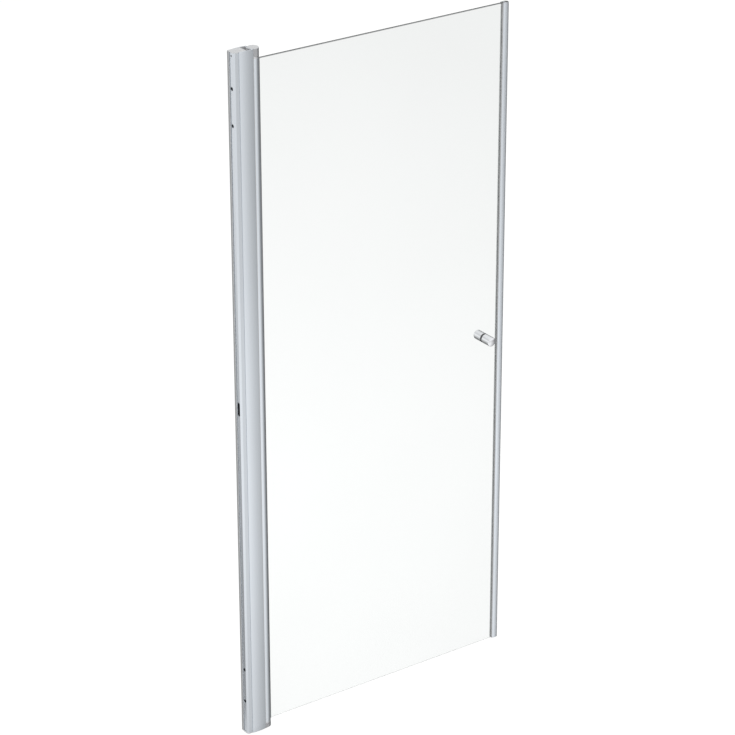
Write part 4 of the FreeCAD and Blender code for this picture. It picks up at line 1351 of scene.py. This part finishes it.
@dataclass
class Studio:
    """Floor, light and camera.

    Attributes:
        eye: Place of the camera in metres.
        azimuth: Its turn about the upright, in degrees.
        elevation: Its height over the horizon, in degrees.
        roll: Its roll, in degrees.
        lens: Focal length in millimetres.
        sensor: Width of the sensor in millimetres.
        far_clip: How far the camera sees, in metres.
        lamps: The lamps.
        aim: The place that they look at.
        dark_side: Direction of the dark side of the studio.
        horizon: How far up rays go where the light from below gives way to that from above.
        fall: Brightness below the horizon, by how far a ray goes to the dark side.
        sky: Brightness above the horizon, by how far a ray goes up.
        far_sky: Share of it that is left on the dark side, by how far a ray goes there.
        clear_sky: How white it is through the edges of the glass, by the same.
        floor_half: Half the floor's width in metres.
        floor_level: Its height.
        front_floor: Share of the light that mirrored rays find on the floor in front, by metres away, as
            painted shade that is deepest near the foot.
        rear_floor: The same behind the door, where the painted shade is deeper.
        middle: Distances from the door's plane between which the front gives way to the rear.
        patch: How much of that is lost close behind the leaf, as more painted shade.
        patch_side: Distances from the wall between which this loss grows.
        patch_reach: Distances from the foot between which it fades.
        plain_grey: Grey of the floor to other light.
        dark_grey: Grey of what mirrored rays find where the light is lost.
        shade_grey: Grey that keeps the shadow to the eye.
        white: Brightness of the floor to the eye, before its own light.
        glass_painted_shade: Painted shade that lowers that brightness where it is seen through the glass,
            least at one place on the floor.
        glass_painted_shade_slope: Further loss for each metre from there.
        glass_painted_shade_reach: Distance at which the loss stops growing.
        glass_painted_shade_middle: The place of the least loss, in metres.
        glass_painted_shade_turn: Turn of the direction in which the painted shade is drawn out, in degrees.
        glass_painted_shade_stretch: How many times it is drawn out.
    """

    eye: Place = (-3.8308, -6.0302, 4.4189)
    azimuth: float = -35.19
    elevation: float = 24.79
    roll: float = -0.098
    lens: float = 145.735
    sensor: float = 36.0
    far_clip: float = 200.0
    lamps: tuple[Lamp, ...] = (
        Lamp("key", (-3.5, -4.5, 4.5), 70.0),
        Lamp("fill", (4.0, -4.0, 3.5), 30.0),
        Lamp("rear", (0.5, 5.0, 4.5), 35.0),
    )
    aim: Place = (0.45, 0.0, 1.0)
    dark_side: Place = (0.966, 0.259, 0.0)
    horizon: Point = (-0.2, 0.1)
    fall: Stops = ((-0.11, 1.0), (0.047, 1.0), (0.31, 0.74), (0.547, 0.55), (0.664, 0.36), (0.786, 0.3))
    sky: Stops = ((0.05, 1.0), (0.2, 0.97), (0.42, 0.72), (0.6, 0.8), (0.75, 1.0))
    far_sky: Stops = ((0.74, 1.0), (0.78, 0.35))
    clear_sky: Stops = ((0.58, 0.0), (0.62, 1.0), (0.745, 1.0), (0.76, 0.0))
    floor_half: float = 40.0
    floor_level: float = -0.0015
    front_floor: Stops = ((0.1, 0.81), (0.8, 0.93), (1.6, 1.0), (2.7, 0.97), (3.4, 0.89), (4.2, 0.84))
    rear_floor: Stops = ((0.1, 0.33), (0.8, 0.36), (1.6, 0.45), (2.7, 0.63), (3.4, 0.76), (4.2, 0.83))
    middle: Point = (-0.05, 0.15)
    patch: float = 0.7
    patch_side: Point = (0.0, 0.5)
    patch_reach: Point = (1.5, 3.2)
    plain_grey: float = 0.86
    dark_grey: float = 0.02
    shade_grey: float = 0.16
    white: float = 0.9
    glass_painted_shade: float = 0.0077
    glass_painted_shade_slope: float = 0.0726
    glass_painted_shade_reach: float = 1.55
    glass_painted_shade_middle: Place = (0.802, 0.964, 0.0)
    glass_painted_shade_turn: float = -35.2
    glass_painted_shade_stretch: float = 3.33

    @staticmethod
    def rays(graph: NodeGraph) -> tuple[Socket, Socket]:
        """Tells rays of the eye, also through the glass, from those that polished surfaces send.

        Args:
            graph: Graph that asks.

        Returns:
            Sockets that are 1 for rays of the eye and for mirrored rays.
        """
        path = graph.node("ShaderNodeLightPath").outputs
        bounced = graph.math("GREATER_THAN", path["Glossy Depth"], 0.5)
        mirrored_ray = graph.math("MAXIMUM", path["Is Glossy Ray"], bounced)
        through = graph.math("MULTIPLY", path["Is Transmission Ray"], graph.math("SUBTRACT", 1.0, bounced))
        return graph.math("MAXIMUM", path["Is Camera Ray"], through), mirrored_ray

    def world(self) -> None:
        """White to the eye and up through the glass, and for the rest falling off to the dark side."""
        world = bpy.data.worlds.new("studio")
        bpy.context.scene.world = world
        world.use_nodes = True
        graph = NodeGraph(world.node_tree)
        way = graph.node("ShaderNodeTexCoord").outputs["Generated"]
        darkward = graph.vector("DOT_PRODUCT", way, self.dark_side).outputs["Value"]
        upward = graph.parts(way)["Z"]
        over = graph.spread(upward, *self.horizon, soft=True)
        above = graph.math("MULTIPLY", graph.curve(upward, self.sky), graph.curve(darkward, self.far_sky))
        room = graph.blend(over, graph.curve(darkward, self.fall), above)
        through = graph.node("ShaderNodeLightPath").outputs["Is Transmission Ray"]
        edge = graph.curve(darkward, self.clear_sky)
        clear = graph.math("MULTIPLY", graph.math("MULTIPLY", through, over), edge)
        white = graph.math("MAXIMUM", self.rays(graph)[0], clear)
        values = {"Color": (1.0, 1.0, 1.0, 1.0), "Strength": graph.blend(white, room, 1.0)}
        back = graph.node("ShaderNodeBackground", values)
        graph.node("ShaderNodeOutputWorld", {"Surface": back.outputs[0]})

    def floor(self) -> None:
        """Pale floor that keeps the shadow."""
        mesh = bpy.data.meshes.new("floor")
        half, level = self.floor_half, self.floor_level
        corners = [(-half, -half, level), (half, -half, level), (half, half, level), (-half, half, level)]
        mesh.from_pydata(corners, [], [(0, 1, 2, 3)])
        floor = placed("floor", mesh)
        mesh.materials.append(self.floor_material())

    def floor_material(self) -> Material:
        """One look to the eye, one to mirrored rays and plain grey to other light."""
        made = bpy.data.materials.new("studio_floor")
        made.use_nodes = True
        graph = NodeGraph(made.node_tree)
        seen, mirrored_ray = self.rays(graph)
        place = graph.place()
        plain = graph.diffuse(self.plain_grey)
        other = graph.mix_shaders(mirrored_ray, plain, self.mirrored_floor(graph, place))
        shown = graph.mix_shaders(seen, other, self.seen_floor(graph, place))
        graph.node("ShaderNodeOutputMaterial", {"Surface": shown})
        return made

    def seen_floor(self, graph: NodeGraph, place: Socket) -> Socket:
        """The floor to the eye: white, less a painted shade where it is seen through the glass, with the
        shadow kept.

        Args:
            graph: The floor's graph.
            place: Place on the floor.

        Returns:
            The shader.
        """
        # Painted shade through the glass: the floor's white falls off with distance from one place, drawn
        # out along a turned direction.
        turn = (0.0, 0.0, math.radians(self.glass_painted_shade_turn))
        values = {"Location": self.glass_painted_shade_middle, "Rotation": turn, "Scale": (1.0, self.glass_painted_shade_stretch, 1.0)}
        drawn = graph.node("ShaderNodeMapping", {"Vector": place, **values}, vector_type="TEXTURE")
        far = graph.vector("LENGTH", drawn.outputs[0]).outputs["Value"]
        away = graph.math("MINIMUM", far, self.glass_painted_shade_reach)
        loss = graph.math("ADD", graph.math("MULTIPLY", away, self.glass_painted_shade_slope), self.glass_painted_shade)
        through = graph.node("ShaderNodeLightPath").outputs["Is Transmission Ray"]
        strength = graph.math("SUBTRACT", self.white, graph.math("MULTIPLY", loss, through))
        white = graph.node("ShaderNodeEmission", {"Color": (1.0, 1.0, 1.0, 1.0), "Strength": strength})
        both = graph.node("ShaderNodeAddShader")
        graph.feed(both.inputs[0], white.outputs[0])
        graph.feed(both.inputs[1], graph.diffuse(self.shade_grey))
        return both.outputs[0]

    def mirrored_floor(self, graph: NodeGraph, place: Socket) -> Socket:
        """The floor to mirrored rays: shares of the world's light, as painted shade that is deepest close
        behind the leaf.

        Args:
            graph: The floor's graph.
            place: Place on the floor.

        Returns:
            The shader.
        """
        # Painted shade: mirrored rays partly meet a near-black sheet, more of it near the foot and close
        # behind the leaf.
        far = graph.vector("LENGTH", place).outputs["Value"]
        parts = graph.parts(place)
        behind = graph.spread(parts["Y"], *self.middle)
        share = graph.blend(behind, graph.curve(far, self.front_floor), graph.curve(far, self.rear_floor))
        leaf_side = graph.spread(parts["X"], *self.patch_side, ends=(0.0, self.patch))
        close = graph.spread(far, *self.patch_reach, ends=(1.0, 0.0))
        patch = graph.math("MULTIPLY", graph.math("MULTIPLY", leaf_side, close), behind)
        left = graph.math("MULTIPLY", share, graph.math("SUBTRACT", 1.0, patch))
        clear = graph.node("ShaderNodeBsdfTransparent").outputs[0]
        return graph.mix_shaders(graph.math("SUBTRACT", 1.0, left), clear, graph.diffuse(self.dark_grey))

    def camera(self) -> None:
        """Stands the camera where the photo was taken from."""
        turn, rise, roll = (math.radians(a) for a in (self.azimuth, self.elevation, self.roll))
        back = Vector((math.sin(turn) * math.cos(rise), -math.cos(turn) * math.cos(rise), math.sin(rise)))
        right = Vector((math.cos(turn), math.sin(turn), 0.0))
        up = back.cross(right)
        side = right * math.cos(roll) + up * math.sin(roll)
        top = up * math.cos(roll) - right * math.sin(roll)
        data = bpy.data.cameras.new("camera")
        data.lens = self.lens
        data.sensor_width = self.sensor
        data.clip_end = self.far_clip
        camera = placed("camera", data)
        camera.matrix_world = Matrix.Translation(self.eye) @ Matrix((side, top, back)).transposed().to_4x4()
        bpy.context.scene.camera = camera

    def build(self) -> None:
        """Sets up the studio."""
        self.world()
        self.floor()
        for lamp in self.lamps:
            lamp.hang(self.aim)
        self.camera()
        bpy.context.scene.view_settings.view_transform = "Standard"


def main() -> None:
    """Dresses the frame and builds the pieces and the studio."""
    logging.basicConfig(level=logging.INFO, format="%(name)s %(message)s")
    wardrobe = Wardrobe(FINISHES, SECONDS)
    wardrobe.dress_nodes()
    for assembly in (WallChannel, HingePost, HingeRound, ClosingEdge, GlassLeaf):
        LOG.info("building %s", assembly.__name__)
        assembly(wardrobe).build()
    Studio().build()


if __name__ == "__main__":
    main()
